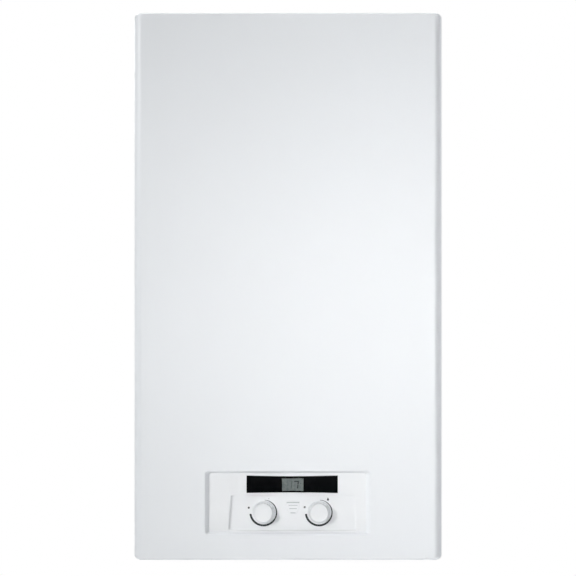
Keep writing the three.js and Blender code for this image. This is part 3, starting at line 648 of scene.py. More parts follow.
def segments(x, z, w, h, t, which, slant=0.12):
    """Bars of a seven-segment digit; (x, z) is its lower left corner."""
    def bar(x0, z0, x1, z1):
        pts = [(x0, z0), (x1, z0), (x1, z1), (x0, z1)]
        pts = [(px + (pz - z) * slant, pz) for px, pz in pts]
        return front_prism(pts, FF + 0.58, FF + 0.53)
    half = h / 2
    g = t * 0.14
    bars = {
        "a": (x + g, z + h - t, x + w - g, z + h), "g": (x + g, z + half - t / 2, x + w - g, z + half + t / 2), "d": (x + g, z, x + w - g, z + t),
        "f": (x, z + half + g, x + t, z + h - g), "b": (x + w - t, z + half + g, x + w, z + h - g),
        "e": (x, z + g, x + t, z + half - g), "c": (x + w - t, z + g, x + w, z + half - g)}
    return [bar(*bars[c]) for c in which]


piece("lcd_digit_tens", merged(*segments(-1.6, -269.6, 6.2, 10.4, 1.2, "bc")), "print_faint", ROOT)
digits = merged(*(segments(6.8, -269.6, 6.6, 10.6, 1.7, "abc")
                  + [front_prism([(16.4, -263.2), (17.4, -263.2), (17.4, -262.4), (16.4, -262.4)], FF + 0.58, FF + 0.53)]))
piece("lcd_digits", digits, "print_dark", ROOT)


# ------------------------------------------------------------------ knobs, their printed scales, the button
def make_knob():
    prof = [(0, 2.6), (2.7, 2.6), (2.7, -8.5), (3.8, -8.5), (3.8, 0.4), (14.2, 0.4), (14.8, 0.55), (15.0, 1.0), (14.9, 1.5),
            (14.6, 2.0), (14.2, 2.6), (13.8, 3.1), (13.5, 3.4), (13.4, 3.2), (13.35, 1.1), (12.55, 1.1), (12.5, 3.6), (12.45, 6.0), (12.4, 9.0), (12.3, 9.45), (12.05, 9.8), (11.7, 9.96), (11.3, 10.0),
            (10.5, 9.95), (8.8, 9.74), (6.0, 9.52), (3.0, 9.43), (0, 9.4)]
    bm = lathe(prof, 120)
    bm = turned(bm, R_FRONT)
    # the index, a short groove in the rim that points straight up at rest
    notch = box(-0.4, 0.4, -9.5, -10.6, 8.6, 12.4)
    return cut(bm, notch)


for name, x in (("heating_knob", KNOB_X[0]), ("hot_water_knob", KNOB_X[1])):
    piece(name + "_cap", moved(make_knob(), x, FLOOR_Y, KNOB_Z), "white_plastic", name, name, bevel=0.12, segments=2, angle=50)


def arc_print(cx, cz):
    """A printed scale: one arc, thick at the left, thinning through the bottom and the right to nothing at the top."""
    cx, cz = cx + 0.1, cz - 0.2
    bm = bm_new()
    rows = []
    n = 110
    for i in range(n + 1):
        u = i / n
        t = math.radians(187.0 + 258.0 * u)
        w = 2.65 if u < 0.36 else 2.65 - 2.2 * ((u - 0.36) / 0.64) ** 1.05
        mid = 17.5 - 1.2 * max(0.0, (u - 0.67) / 0.33) ** 1.3
        ri, ro = mid - w / 2, mid + w / 2
        rows.append([bm.verts.new((cx + r * math.cos(t), y, cz + r * math.sin(t))) for r, y in ((ri, FLOOR_Y - 0.02), (ro, FLOOR_Y - 0.02), (ro, FLOOR_Y - 0.07), (ri, FLOOR_Y - 0.07))])
    for a, b in zip(rows, rows[1:]):
        for i in range(4):
            face(bm, [a[i], a[(i + 1) % 4], b[(i + 1) % 4], b[i]])
    bm.faces.new(rows[0])
    bm.faces.new(rows[-1])
    bmesh.ops.recalc_face_normals(bm, faces=bm.faces)
    return bm


def mark(points):
    return front_prism(points, FLOOR_Y - 0.02, FLOOR_Y - 0.07)


def dot(cx, cz, r, sides=20):
    return mark([(cx + r * math.cos(2 * math.pi * i / sides), cz + r * math.sin(2 * math.pi * i / sides)) for i in range(sides)])


def tick(cx, cz, ang, r0, r1, w):
    t = math.radians(ang)
    ux, uz = math.cos(t), math.sin(t)
    return mark([(cx + ux * r0 - uz * w / 2, cz + uz * r0 + ux * w / 2), (cx + ux * r0 + uz * w / 2, cz + uz * r0 - ux * w / 2),
                 (cx + ux * r1 + uz * w / 2, cz + uz * r1 - ux * w / 2), (cx + ux * r1 - uz * w / 2, cz + uz * r1 + ux * w / 2)])


(kx0, kx1) = KNOB_X
piece("heating_scale_print", merged(arc_print(kx0, KNOB_Z), dot(-52.4, -295.4, 1.35), tick(kx0, KNOB_Z, 68, 18.9, 20.3, 0.5)), "print_dark", ROOT)
flake = [tick(22.2, -294.6, a, -1.9, 1.9, 0.55) for a in (0, 60, 120)]
drop = [(53.2 + 1.35 * math.cos(math.radians(a)), -284.6 + 1.35 * math.sin(math.radians(a))) for a in range(150, 391, 20)] + [(53.2, -281.6)]
piece("hot_water_scale_print", merged(arc_print(kx1, KNOB_Z), mark(drop), *flake), "print_dark", ROOT)

btn = join(front_prism(shield(1.0), FF + 7, FF + 1.8), front_prism(shield(1.2), FF + 7.5, FF + 5.8))
piece("mode_button_cap", btn, "white_plastic", "mode_button", "mode_button", bevel=0.3, segments=3, angle=40)


# One thin grey bar on the button's face, a mark of painted shade.
def button_shade_bar(points):
    return front_prism(points, FF + 1.78, FF + 1.74)


# Painted shade on the button's face, riding with it. The top bar is a painted shadow of the gap above the button, and
# the bottom bar is a painted shadow along its lower edge. The two middle lines are painted shade standing in for two
# grooves.
button_shade_bars = [button_shade_bar([(0.6, -292.3), (12.6, -292.3), (12.6, -291.6), (0.6, -291.6)]), button_shade_bar([(1.6, -296.8), (11.6, -296.8), (11.6, -296.1), (1.6, -296.1)]),
         button_shade_bar([(3.4, -302.6), (9.8, -302.6), (10.2, -301.7), (3.0, -301.7)]), button_shade_bar([(-1.8, -288.9), (15.0, -288.9), (15.0, -288.0), (-1.8, -288.0)])]
piece("mode_button_painted_shade", merged(*button_shade_bars), "painted_shade_grey", "mode_button")

# ------------------------------------------------------------------ more shapes
def at(bm, x, y, z):
    return moved(bm, x, y, z)


def side_lathe(profile, y, z, sides=48, ring=False, x=0.0):
    """Profile heights are distances to the right of x."""
    return moved(turned(lathe(profile, sides, ring), R_SIDE), x, y, z)


def spin_front(bm, degrees):
    return turned(bm, Matrix.Rotation(math.radians(degrees), 4, "Y"))


def hexagon(r, x, y, z0, z1, first=90.0):
    pts = [(x + r * math.cos(math.radians(first + 60 * i)), y + r * math.sin(math.radians(first + 60 * i))) for i in range(6)]
    return prism(pts, z0, z1)


def rounded_block(outline, levels, along):
    """Loft through (inset, depth) levels of an outline function; along = 'front' or 'up'."""
    rings = []
    for inset, d in levels:
        pts = outline(inset)
        rings.append([(a, d, b) if along == "front" else (a, b, d) for a, b in pts])
    bm, rows = strips(rings)
    bm.faces.new(rows[0])
    bm.faces.new(rows[-1])
    bmesh.ops.recalc_face_normals(bm, faces=bm.faces)
    return bm


def pan_screw(x, y, z, facing, r=3.4, h=2.0):
    """A pan head with a cross recess, sitting at a point and facing front, down or up."""
    bm = lathe([(0, 0), (r, 0), (r, h * 0.35), (r * 0.86, h * 0.75), (r * 0.5, h), (0, h)], 28)
    bm = cut(bm, box(-r * 0.58, r * 0.58, -0.4, 0.4, h * 0.45, h + 1), box(-0.4, 0.4, -r * 0.58, r * 0.58, h * 0.45, h + 1))
    if facing == "front":
        turned(bm, R_FRONT)
    elif facing == "down":
        turned(bm, Matrix.Rotation(math.pi, 4, "X"))
    return moved(bm, x, y, z)


# ------------------------------------------------------------------ chassis sheets
C = 203.0
frame_sheet = join(cut(box(-C, C, -40, 0, -362, 362), box(-C + 1.5, C - 1.5, -41, -1.5, -360.5, 360.5)),
                   box(-C, C, -1.5, 0, -370, 370), box(-161.5, 161.5, -11.5, 0, 298.5, 351.5))
frame_sheet = cut(frame_sheet, box(-160, 160, -10, 1, 300, 350), front_prism(round_rect(-110, 318, -70, 336, 4, 6), -9, -13),
                  front_prism(round_rect(70, 318, 110, 336, 4, 6), -9, -13))
piece("rear_frame_sheet", frame_sheet, "galvanised", ROOT, "rear_frame", bevel=0.45, angle=50)

rail = front_prism(round_rect(-155, 304, 155, 338, 3, 6), 0, -2)
rail = cut(rail, *[front(4.2, x, 316, 1, -3, 32) for x in (-130, 0, 130)])
piece("wall_bracket_rail", join(rail, box(-105, -75, -18, -1, 322, 324.5), box(-105, -75, -18, -16, 322, 333),
                                box(75, 105, -18, -1, 322, 324.5), box(75, 105, -18, -16, 322, 333)), "galvanised", ROOT, "wall_bracket", bevel=0.5, angle=50)

for side_name, s in (("left", -1), ("right", 1)):
    pts = [(s * HX, -2.3), (s * HX, -240), (s * 196.2, -240), (s * 196.2, -238.8), (s * (HX - SHEET), -238.8), (s * (HX - SHEET), -2.3)]
    piece("side_sheet_" + side_name, prism(pts, -HZ, HZ), "white_coat", ROOT, "side_panel_" + side_name, bevel=0.5, segments=3, angle=50)

top = cut(prism(round_rect(-203.5, -238.5, 203.5, -2.3, 1.5, 4), HZ - SHEET, HZ), up(50, 0, -140, HZ - 3, HZ + 1, 96))
piece("top_sheet", join(top, box(-195.5, 195.5, -238.5, -226, 361.3, 363), box(-195.5, 195.5, -252, -226, 361.3, 362.5)), "white_coat", ROOT, "top_panel", bevel=0.35, angle=50)

PORTS = {"heating_flow_stub": (-130, 13.2, 9.0), "hot_water_stub": (-65, 10.5, 6.5), "gas_stub": (0, 13.2, 9.0), "cold_water_stub": (65, 10.5, 6.5), "heating_return_stub": (130, 13.2, 9.0)}
bottom = prism(round_rect(-203.5, -238.5, 203.5, -2.3, 1.5, 4), -HZ, -HZ + SHEET)
bottom = join(bottom, box(-195.5, 195.5, -238.5, -226, -363, -361.3), box(-195.5, 195.5, -270, -226, -362.5, -361.3))
bottom = cut(bottom, *[up(17, p[0], -130, -366, -362, 64) for p in PORTS.values()], up(8, 65, -180, -366, -362, 48),
             box(-172.8, -167.2, -271, -255, -365, -360), box(167.2, 172.8, -271, -255, -365, -360))
piece("bottom_sheet", bottom, "galvanised", ROOT, "bottom_panel", bevel=0.3, angle=50)

# rubber grommets round the five ports
piece("port_grommets", merged(*[up_lathe([(p[1] - 1.6, -363.2), (17.6, -363.2), (18.6, -362.2), (18.6, -361.6), (p[1] - 1.6, -361.6)], p[0], -130, 64, True)
                                 for p in PORTS.values()]), "rubber", ROOT, bevel=0.25)

# ------------------------------------------------------------------ screws of the casing
for side_name, x in (("left", -170), ("right", 170)):
    bm = up_lathe([(0, -367), (2.6, -367), (4.0, -366.7), (4.6, -366.0), (4.6, -364.3), (2, -364.3), (2, -354), (0, -353)], x, -258, 40)
    bm = cut(bm, box(x - 2.4, x + 2.4, -258.45, -257.55, -368, -365.9), box(x - 0.45, x + 0.45, -260.4, -255.6, -368, -365.9))
    piece("casing_screw_head_" + side_name, bm, "steel", "front_casing", "casing_screw_" + side_name, bevel=0.12)

# ------------------------------------------------------------------ flue connection
piece("flue_gasket_ring", up_lathe([(50.5, 364.3), (64, 364.3), (64, 366), (50.5, 366)], 0, -140, 96, True), "rubber", ROOT, "flue_gasket", bevel=0.4)
collar = up_lathe([(50, 366.3), (66, 366.3), (66, 368.6), (55.5, 368.6), (54.0, 369.1), (53.2, 370.2), (53, 371.6), (53, 373.6), (53.7, 374.2), (53.9, 374.9), (53.7, 375.6), (53, 376.2),
                   (53, 380.4), (52.4, 381), (50.6, 381), (50, 380.4)], 0, -140, 112, True)
piece("flue_collar_casting", collar, "aluminium", ROOT, "flue_collar", bevel=0.3)
piece("flue_collar_screws", merged(*[pan_screw(60.2 * math.cos(math.radians(a)), -140 + 60.2 * math.sin(math.radians(a)), 368.6, "up", 3.2, 1.9) for a in (45, 135, 225, 315)]),
      "steel", ROOT)

# ------------------------------------------------------------------ combustion chamber
chamber = cut(box(-194, 194, -60, -284, -72, 358), box(-192.5, 192.5, -61.5, -285, -70.5, 356.5), up(47, 0, -140, 350, 365, 96),
              up(12, 0, -236, -80, -60, 40), up(11, -155, -160, -80, -60, 40), up(11, 155, -160, -80, -60, 40))
piece("sealed_chamber_sheet", chamber, "galvanised", ROOT, "sealed_chamber", bevel=0.5, angle=50)


def pressed(x, z0, z1, r, y_back, y_front, shoulder):
    """A raised field pressed into a sheet, with rounded shoulders."""
    def outline(i):
        return round_rect(-x + i, z0 + i, x - i, z1 - i, max(r - i * 0.4, 1.0), 8)
    levels = [(0, y_back)]
    n = 6
    for k in range(n + 1):
        t = math.pi / 2 * k / n
        levels.append((shoulder * (1 - math.cos(t)), y_front + shoulder * (1 - math.sin(t))))
    return rounded_block(outline, levels, "front")


lid = join(cut(box(-195.4, 195.4, -286, -272, -73.4, 359.4), box(-194.3, 194.3, -284.4, -271, -72.3, 358.3)), pressed(172, -50, 336, 8, -285, -292, 3.0))
lid = cut(lid, box(-170.5, 170.5, -290.5, -284, -48.5, 334.5), front(12, 0, 60, -288, -294, 48))
piece("chamber_lid", lid, "galvanised", ROOT, "chamber_cover", bevel=0.4, angle=50)
lid_screws = [pan_screw(x, -286, z, "front", 3.6, 2.2) for x in (-184, 184) for z in (-58, 40, 143, 246, 344)]
lid_screws += [pan_screw(x, -286, z, "front", 3.6, 2.2) for x in (-92, 0, 92) for z in (-62.5, 348)]
piece("chamber_lid_screws", merged(*lid_screws), "steel", ROOT)

piece("sight_glass_pane", front_lathe([(0, 292.4), (14.5, 292.4), (14.5, 294.0), (0, 294.0)], 0, 60, 64), "glass", ROOT, "sight_glass", bevel=0.2)
piece("sight_glass_ring", front_lathe([(10.6, 294.05), (17, 292.35), (17, 294.4), (15.6, 295.3), (11.4, 295.3)], 0, 60, 64, True), "steel", ROOT, bevel=0.2)

hood = cut(join(side_prism([(-228, 168.3), (-228, 182), (-150, 220), (-116.4, 224), (-72, 224), (-72, 200), (-92, 182), (-92, 168.3)], -112, 112), box(-62, 62, -116.4, -72, 220, 318)),
           side_prism([(-226.8, 167), (-226.8, 181.3), (-149.7, 218.8), (-116.4, 222.8), (-73.2, 222.8), (-73.2, 200.5), (-93.2, 182.5), (-93.2, 167)], -110.8, 110.8),
           box(-60.8, 60.8, -115.2, -73.2, 219, 316.8), front(28, 0, 285, -114, -118, 64))
piece("flue_hood_sheet", hood, "galvanised", ROOT, "flue_hood", bevel=0.4, angle=40)

fan = cut(join(front(58, 0, 0, 23, -23, 96), up(31, 0, 0, 40, 93, 80), side(3, 0, 60, 28, 42, 24)),
          front(54, 0, 0, 21, -21, 96), up(28, 0, 0, 43, 94, 80), front(27, 0, 0, 24, 20, 72), front(5, 0, 0, -20, -24, 32))
piece("fan_scroll", at(fan, 0, -140, 285), "aluminium", ROOT, "fan_housing", bevel=0.6, angle=40)

blades = []
for i in range(20):
    b = box(26, 45, -0.5, 0.5, -15.5, 15.5)
    turned(b, Matrix.Rotation(math.radians(22), 4, "Z"))
    turned(b, Matrix.Translation((-1.0, -13.3, 0)))
    turned(b, R_FRONT)
    blades.append(spin_front(b, i * 18))
wheel = join(front(46, 0, 0, -15, -17, 96), front_lathe([(37, -16), (46, -16), (46, -14), (37, -14)], 0, 0, 96, True), front(7, 0, 0, 4, -16, 40), front(2.6, 0, 0, -15, -38, 32))
wheel = merged(wheel, *blades)
piece("fan_wheel", at(wheel, 0, -140, 285), "steel", "fan_impeller", "fan_impeller")

motor = front_lathe([(0, 42), (3.4, 42), (3.4, 23.4), (30, 23.4), (30, 34), (33, 34), (33, 52), (30, 52), (30, 70), (29, 72.6), (26.4, 75), (0, 75)], 0, 0, 80)
slots = []
for i in range(12):
    slots.append(spin_front(box(-1.3, 1.3, -55, -67, 28.2, 34), i * 30))
piece("fan_motor_can", at(cut(motor, *slots), 0, -140, 285), "steel", ROOT, "fan_motor", bevel=0.4)

switch = join(front_lathe([(0, 0), (22, 0), (22, 8), (27, 8), (27, 13), (20, 13), (18, 24), (0, 24)], 0, 0, 72), side(2.6, -5, 0, -34, 0, 28))
piece("air_pressure_switch_case", at(switch, 140, -200, 300), "black_plastic", ROOT, "air_pressure_switch", bevel=0.5)
piece("pressure_hose_tube", pipe([(42.4, -140, 345), (74, -140, 345), (74, -205, 300), (105.6, -205, 300)], 3.4, 14, 24), "rubber", ROOT, "pressure_hose", smooth=50)

# heat exchanger: a block of thin fins between two headers
pitch, count = 4.0, 52
x0 = -104.0
low, high = [], []
for i in range(count):
    a = x0 + i * pitch
    low += [(a, 120), (a + 1.2, 120)]
    high += [(a, 164), (a + 1.2, 164)]
    if i < count - 1:
        low += [(a + 1.2, 137), (a + pitch, 137)]
        high += [(a + 1.2, 147), (a + pitch, 147)]
comb = front_prism(low + high[::-1], -95, -225)
header = lambda a, b: side_prism(round_rect(-222, 122, -98, 162, 14, 10), a, b)
piece("heat_exchanger_core", join(comb, header(95, 134), header(-134, -101)), "copper", ROOT, "heat_exchanger", bevel=0.5, angle=50)


def tray(x, y0, y1, t, z0, z1):
    return cut(prism(round_rect(-x, y0, x, y1, 1.2, 4), z0, z1), box(-x + t, x - t, y0 + t, y1 - t, z0 - 1, z1 + 1))


piece("combustion_sheet", cut(tray(108, -228, -92, 1.4, 0, 117.7), front(10, 0, 60, -224, -230, 40)), "galvanised", ROOT, "combustion_box", bevel=0.3, angle=50)
piece("insulation_board", cut(tray(106.2, -226.2, -93.8, 11, 0.5, 117), front(8, 0, 60, -210, -230, 40)), "fibre", ROOT, "insulation_lining", bevel=0.8, angle=50)

bars = [(-88, -45), (88, -45)]
for i in range(9, -1, -1):
    a = -88 + i * 17.6
    bars += [(a + 17.6, -38), (a + 9.6, -38), (a + 9.6, -12), (a, -12)]
burner = front_prism(bars, -100, -220)
ports = []
for i in range(10):
    cx = -88 + i * 17.6 + 4.8
    for k in range(11):
        ports.append(box(cx - 3.4, cx + 3.4, -108 - k * 10, -110.4 - k * 10, -13.2, -11))
piece("burner_ribbons", cut(burner, *ports), "steel", ROOT, "burner_bars", bevel=0.5, angle=50)
jets = [front_lathe([(0, 221), (1.6, 221), (2.6, 222.4), (2.6, 232), (0, 232)], -83.2 + i * 17.6, -28, 24) for i in range(10)]
piece("burner_rail", join(side(8, -236, -28, -92, 92, 48), up(10, 0, -236, -48, -28, 48), *jets), "aluminium", ROOT, "burner_manifold", bevel=0.6, angle=50)

for name, x in (("ignition_electrode", -40), ("ionisation_electrode", 40)):
    rod_ = front_lathe([(0, 200), (0.8, 200.2), (1.2, 201), (1.2, 228), (3.4, 228), (3.4, 234), (2.9, 234.6), (3.4, 235.2), (3.4, 241), (2.9, 241.6), (3.4, 242.2), (3.4, 250), (2, 252), (2, 262), (0, 262)], x, -6, 32)
    piece(name + "_rod", join(rod_, box(x - 8, x + 8, -229.9, -228.4, -10, 22)), "ceramic", ROOT, name, bevel=0.25)

# ------------------------------------------------------------------ expansion vessel
def vessel_outline(i):
    return round_rect(-150 + i, -40 + i, 150 - i, 285 - i, 46 - i * 0.8, 14)


levels = []
for k in range(8):
    t = math.pi / 2 * k / 7
    levels.append((16 * (1 - math.sin(t)) ** 1.0, -19 + 13 * math.cos(t)))
levels += [(16 * (1 - math.cos(math.pi / 2 * k / 7)), -37 - 13 * math.sin(math.pi / 2 * k / 7)) for k in range(0, 8)]
vessel = join(rounded_block(vessel_outline, levels, "front"), front_prism(round_rect(-155, -45, 155, 290, 50, 14), -26.5, -30), up(7, 100, -28, -60, -30, 48))
piece("expansion_vessel_shell", vessel, "red_paint", ROOT, "expansion_vessel", bevel=0.7, angle=50)
piece("expansion_tube", pipe([(100, -28, -60.3), (100, -28, -120), (80, -112, -170), (80, -112, -279.7)], 5, 20, 28), "copper", ROOT, "expansion_pipe", smooth=50)

# ------------------------------------------------------------------ gas line
valve = join(box(-30, 30, -115, -178, -215, -120), front_prism(round_rect(-36, -208, 36, -128, 5, 8), -135, -165),
             front(15, -14, -148, -176, -212, 64), front(15, 14, -185, -176, -218, 64), up(15, 0, -130, -225, -214, 56), up(12, 0, -150, -121, -112, 48))
piece("gas_valve_casting", valve, "aluminium", ROOT, "gas_valve", bevel=1.0, segments=3, angle=50)
piece("gas_valve_coils", merged(front_lathe([(8, 212.1), (13.4, 212.1), (13.4, 213.6), (8, 213.6)], -14, -148, 56, True), front_lathe([(8, 218.1), (13.4, 218.1), (13.4, 219.6), (8, 219.6)], 14, -185, 56, True)),
      "black_plastic", ROOT, bevel=0.3)
piece("gas_valve_screws", merged(*[pan_screw(x, -178, z, "front", 2.8, 1.8) for x, z in ((-25, -125), (25, -125), (-25, -210), (25, -150), (-4, -210))]), "steel", ROOT)
piece("gas_tube", pipe([(0, -236, -48.3), (0, -236, -92), (0, -150, -92), (0, -150, -111.7)], 7, 16, 32), "copper", ROOT, "gas_pipe", smooth=50)
piece("gas_tube_nut", cut(hexagon(11.5, 0, -150, -111.6, -103), up(7.05, 0, -150, -112, -102, 32)), "brass", ROOT, bevel=0.6)


def stub(r, bore, top):
    prof = [(bore, -388), (r - 1.4, -388), (r - 0.5, -387.2)]
    z = -386.6
    while z < -369.2:
        prof += [(r - 1.15, z), (r, z + 0.55), (r, z + 0.8), (r - 1.15, z + 1.35)]
        z += 1.814
    prof += [(r - 2, -368.2), (r - 2, top), (bore, top)]
    body = lathe(prof, 72, True)
    return join(body, cut(hexagon(r + 3, 0, 0, -358, -348), up(r - 3.5, 0, 0, -359, -347, 48)))


for name, (x, r, bore) in PORTS.items():
    top_z = -225.3 if name == "gas_stub" else -345.3
    piece(name + "_tail", at(stub(r, bore, top_z), x, -130, 0), "brass", ROOT, name, bevel=0.25, angle=50)

# ------------------------------------------------------------------ water side
def block(s):
    return join(box(s * 56, s * 160, -108, -152, -334, -290), side(21, -130, -312, min(s * 50, s * 165), max(s * 50, s * 165), 72),
                up(19, s * 65, -130, -345, -285, 64), up(21, s * 130, -130, -345, -285, 64),
                front_prism(round_rect(min(s * 58, s * 94), -330, max(s * 58, s * 94), -272, 5, 8), -150, -165), front(12, s * 150, -312, -148, -165, 48))


piece("return_block", join(block(1), up(18, 130, -122, -300, -280, 56), up(8, 80, -112, -300, -280, 40)), "brass", ROOT, "hydraulic_block_return", bevel=0.9, segments=3, angle=45)
piece("flow_block", cut(join(block(-1), up(16, -95, -130, -320, -280, 56), up(14, -145, -130, -300, -270, 56)), up(4.6, -95, -130, -313, -279, 32)), "brass", ROOT, "hydraulic_block_flow", bevel=0.9, segments=3, angle=45)
piece("diverter_rod", up_lathe([(0, -300), (2.6, -300), (3.4, -299.6), (4, -299), (4, -250.4), (3.6, -250), (0, -250)], -95, -130, 40), "steel", "diverter_spindle", "diverter_spindle")
head = cut(join(prism(round_rect(-118, -152, -72, -108, 5, 10), -262, -224), box(-117, -109, -140, -120, -279.7, -260), box(-81, -73, -140, -120, -279.7, -260)), up(4.6, -95, -130, -264, -240, 32))
piece("diverter_head", head, "black_plastic", ROOT, "diverter_motor", bevel=0.9, segments=3, angle=45)
piece("diverter_head_screws", merged(*[pan_screw(x, y, -224, "up", 2.4, 1.4) for x, y in ((-113, -113), (-77, -113), (-113, -147), (-77, -147))]), "steel", ROOT)

PX0, PY0, PZ0 = 130, -119, -232
volute = cut(join(front(40, PX0, PZ0, -98, -140, 96), up(17, PX0, -122, -279.7, -240, 56), up(12, 155, PY0, -230, -185, 48), up(7, 105, PY0, -220, -190, 32)), front(30, PX0, PZ0, -108, -141, 80))
piece("pump_volute", volute, "grey_plastic", ROOT, "pump_body", bevel=1.0, segments=3, angle=45)
vanes = [spin_front(turned(box(6, 25, -0.8, 0.8, -7, 9), R_FRONT), i * 60) for i in range(6)]
rotor = merged(join(front(26, 0, 0, 8, 5, 64), front(7, 0, 0, 6, -10, 40), front(26, 0, 0, -8, -11, 64), front(2.8, 0, 0, -10, -58, 32)), *vanes)
piece("pump_wheel", at(rotor, PX0, PY0 - 3, PZ0), "steel", "pump_rotor", "pump_rotor")
can = front_lathe([(0, 65), (3.6, 65), (3.6, 21.4), (37, 21.4), (37, 27), (35.4, 28)] + [p for k in range(9) for p in ((35.4, 30 + 4 * k), (37, 30.6 + 4 * k), (37, 32.4 + 4 * k), (35.4, 33 + 4 * k))]
                  + [(35.4, 68), (35.0, 71), (33, 74), (12, 74), (12, 78), (0, 78)], 0, 0, 96)
can = join(can, box(-22, 18, -32, -66, 30, 52))
piece("pump_can", at(can, PX0, PY0, PZ0), "aluminium", ROOT, "pump_motor", bevel=0.5, angle=45)
piece("pump_bleed_screw", front_lathe([(0, 197), (8.5, 197), (8.5, 198.6), (7.8, 199.4), (0, 199.4)], PX0, PZ0, 48), "brass", ROOT, bevel=0.3)
piece("air_vent_body", up_lathe([(0, -189.7), (7, -189.7), (7, -184), (10, -184), (10, -162), (9.4, -160.4), (7, -156), (4, -156), (4, -151), (3.4, -150), (0, -150)], 105, PY0, 56), "brass", ROOT, "auto_air_vent", bevel=0.5)

plates = [front_prism(round_rect(-89.5, -330.5, 89.5, -269.5, 14, 10), -172, -221)]
for i in range(14):
    y = -172 - i * 3.5
    plates.append(front_prism(round_rect(-92, -333, 92, -267, 16, 10), y, y - 2.1))
phe = join(*plates, front_prism(round_rect(-92, -333, 92, -267, 16, 10), -219, -222.6), *[front(9, sx * 76, z, -165.4, -173, 40) for sx in (-1, 1) for z in (-316, -285)])
piece("plate_pack", phe, "steel", ROOT, "plate_heat_exchanger", bevel=0.45, angle=45)

piece("flow_tube", pipe([(-124, -160, 121.7), (-124, -160, 88), (-155, -160, 88), (-155, -160, -190), (-145, -130, -230), (-145, -130, -269.7)], 9, 15, 32), "copper", ROOT, "flow_pipe", smooth=50)
piece("return_tube", pipe([(124, -160, 121.7), (124, -160, 88), (155, -160, 88), (155, -160, -120), (155, PY0, -150), (155, PY0, -184.7)], 9, 15, 32), "copper", ROOT, "return_pipe", smooth=50)

piece("safety_valve_barrel", front_lathe([(0, 165.3), (9, 165.3), (9, 170), (12, 170), (12, 182), (10, 186), (10, 193), (0, 193)], 150, -312, 56), "brass", ROOT, "safety_valve_body", bevel=0.6)


def fluted(r0, r1, count, depth, y0, y1, x, z, top):
    """A knob with flutes round it, along -Y."""
    n = count * 8
    def ring(scale, y):
        return [(x + (r1 - depth * (0.5 - 0.5 * math.cos(2 * math.pi * count * i / n))) * scale * math.cos(2 * math.pi * i / n), y,
                 z + (r1 - depth * (0.5 - 0.5 * math.cos(2 * math.pi * count * i / n))) * scale * math.sin(2 * math.pi * i / n)) for i in range(n)]
    rings = [ring(r0 / r1, y0), ring(1.0, y0 - top), ring(1.0, y1 + top * 1.6), ring(0.94, y1 + top * 0.5), ring(0.84, y1)]
    bm, rows = strips(rings)
    bm.faces.new(rows[0])
    bm.faces.new(rows[-1])
    bmesh.ops.recalc_face_normals(bm, faces=bm.faces)
    return bm


piece("safety_valve_cap", fluted(12, 13, 14, 1.1, -193.4, -214, 150, -312, 1.6), "red_plastic", "safety_valve_knob", "safety_valve_knob", smooth=50)
piece("pressure_sensor_body", front_lathe([(0, 165.3), (6, 165.3), (6, 168), (11, 168), (11, 175), (8, 175), (8, 192), (5.5, 192), (5.5, 202), (0, 202)], -150, -312, 56), "brass", ROOT, "water_pressure_sensor", bevel=0.5)
piece("filling_tap_barrel", cut(join(up(10, 65, -180, -358, -335, 56), front(5.5, 65, -341, -150.5, -175, 40)), up(4.6, 65, -180, -359, -345, 40)), "brass", ROOT, "filling_tap_body", bevel=0.6)
rings = []
n = 96
for scale, z in ((0.84, -380), (0.94, -379.2), (1.0, -377.6), (1.0, -368), (0.84, -366)):
    rings.append([((12 - 1.2 * (0.5 - 0.5 * math.cos(2 * math.pi * 12 * i / n))) * scale * math.cos(2 * math.pi * i / n),
                   (12 - 1.2 * (0.5 - 0.5 * math.cos(2 * math.pi * 12 * i / n))) * scale * math.sin(2 * math.pi * i / n), z) for i in range(n)])
tap_bm, rows = strips(rings)
tap_bm.faces.new(rows[0])
tap_bm.faces.new(rows[-1])
bmesh.ops.recalc_face_normals(tap_bm, faces=tap_bm.faces)
piece("filling_tap_cap", at(join(tap_bm, up(4, 0, 0, -367, -347, 40)), 65, -180, 0), "blue_plastic", "filling_tap_knob", "filling_tap_knob", smooth=50)

# ------------------------------------------------------------------ control box behind the fascia
rear = cut(box(-189, 189, -245, -306.7, -350, -229.5), box(-186.8, 186.8, -247.2, -308, -347.8, -231.7), box(120, 150, -250, -275, -233, -228))
piece("control_box_tray", rear, "grey_plastic", ROOT, "control_box_rear", bevel=0.8, segments=3, angle=50)
bb = FF + 24
pcb = join(box(-120, 125, bb, bb - 1.6, -340, -240), *[front_prism(round_rect(x - 7, KNOB_Z - 7, x + 7, KNOB_Z + 7, 1.5, 4), bb - 1, bb - 9) for x in KNOB_X],
           *[front(2.3, x, KNOB_Z, bb - 8, bb - 23, 32) for x in KNOB_X], box(2.6, 10.6, bb - 1, bb - 7, -299.4, -291.4), front(1.8, 6.6, -295.4, bb - 6, bb - 14.5, 28),
           box(-110, -60, bb + 29, bb - 0.5, -330, -290), box(-45, -20, bb + 17, bb - 0.5, -330, -255), box(0, 90, bb + 13, bb - 0.5, -335, -320))
piece("control_circuit", pcb, "board", ROOT, "control_board", bevel=0.3, angle=50)

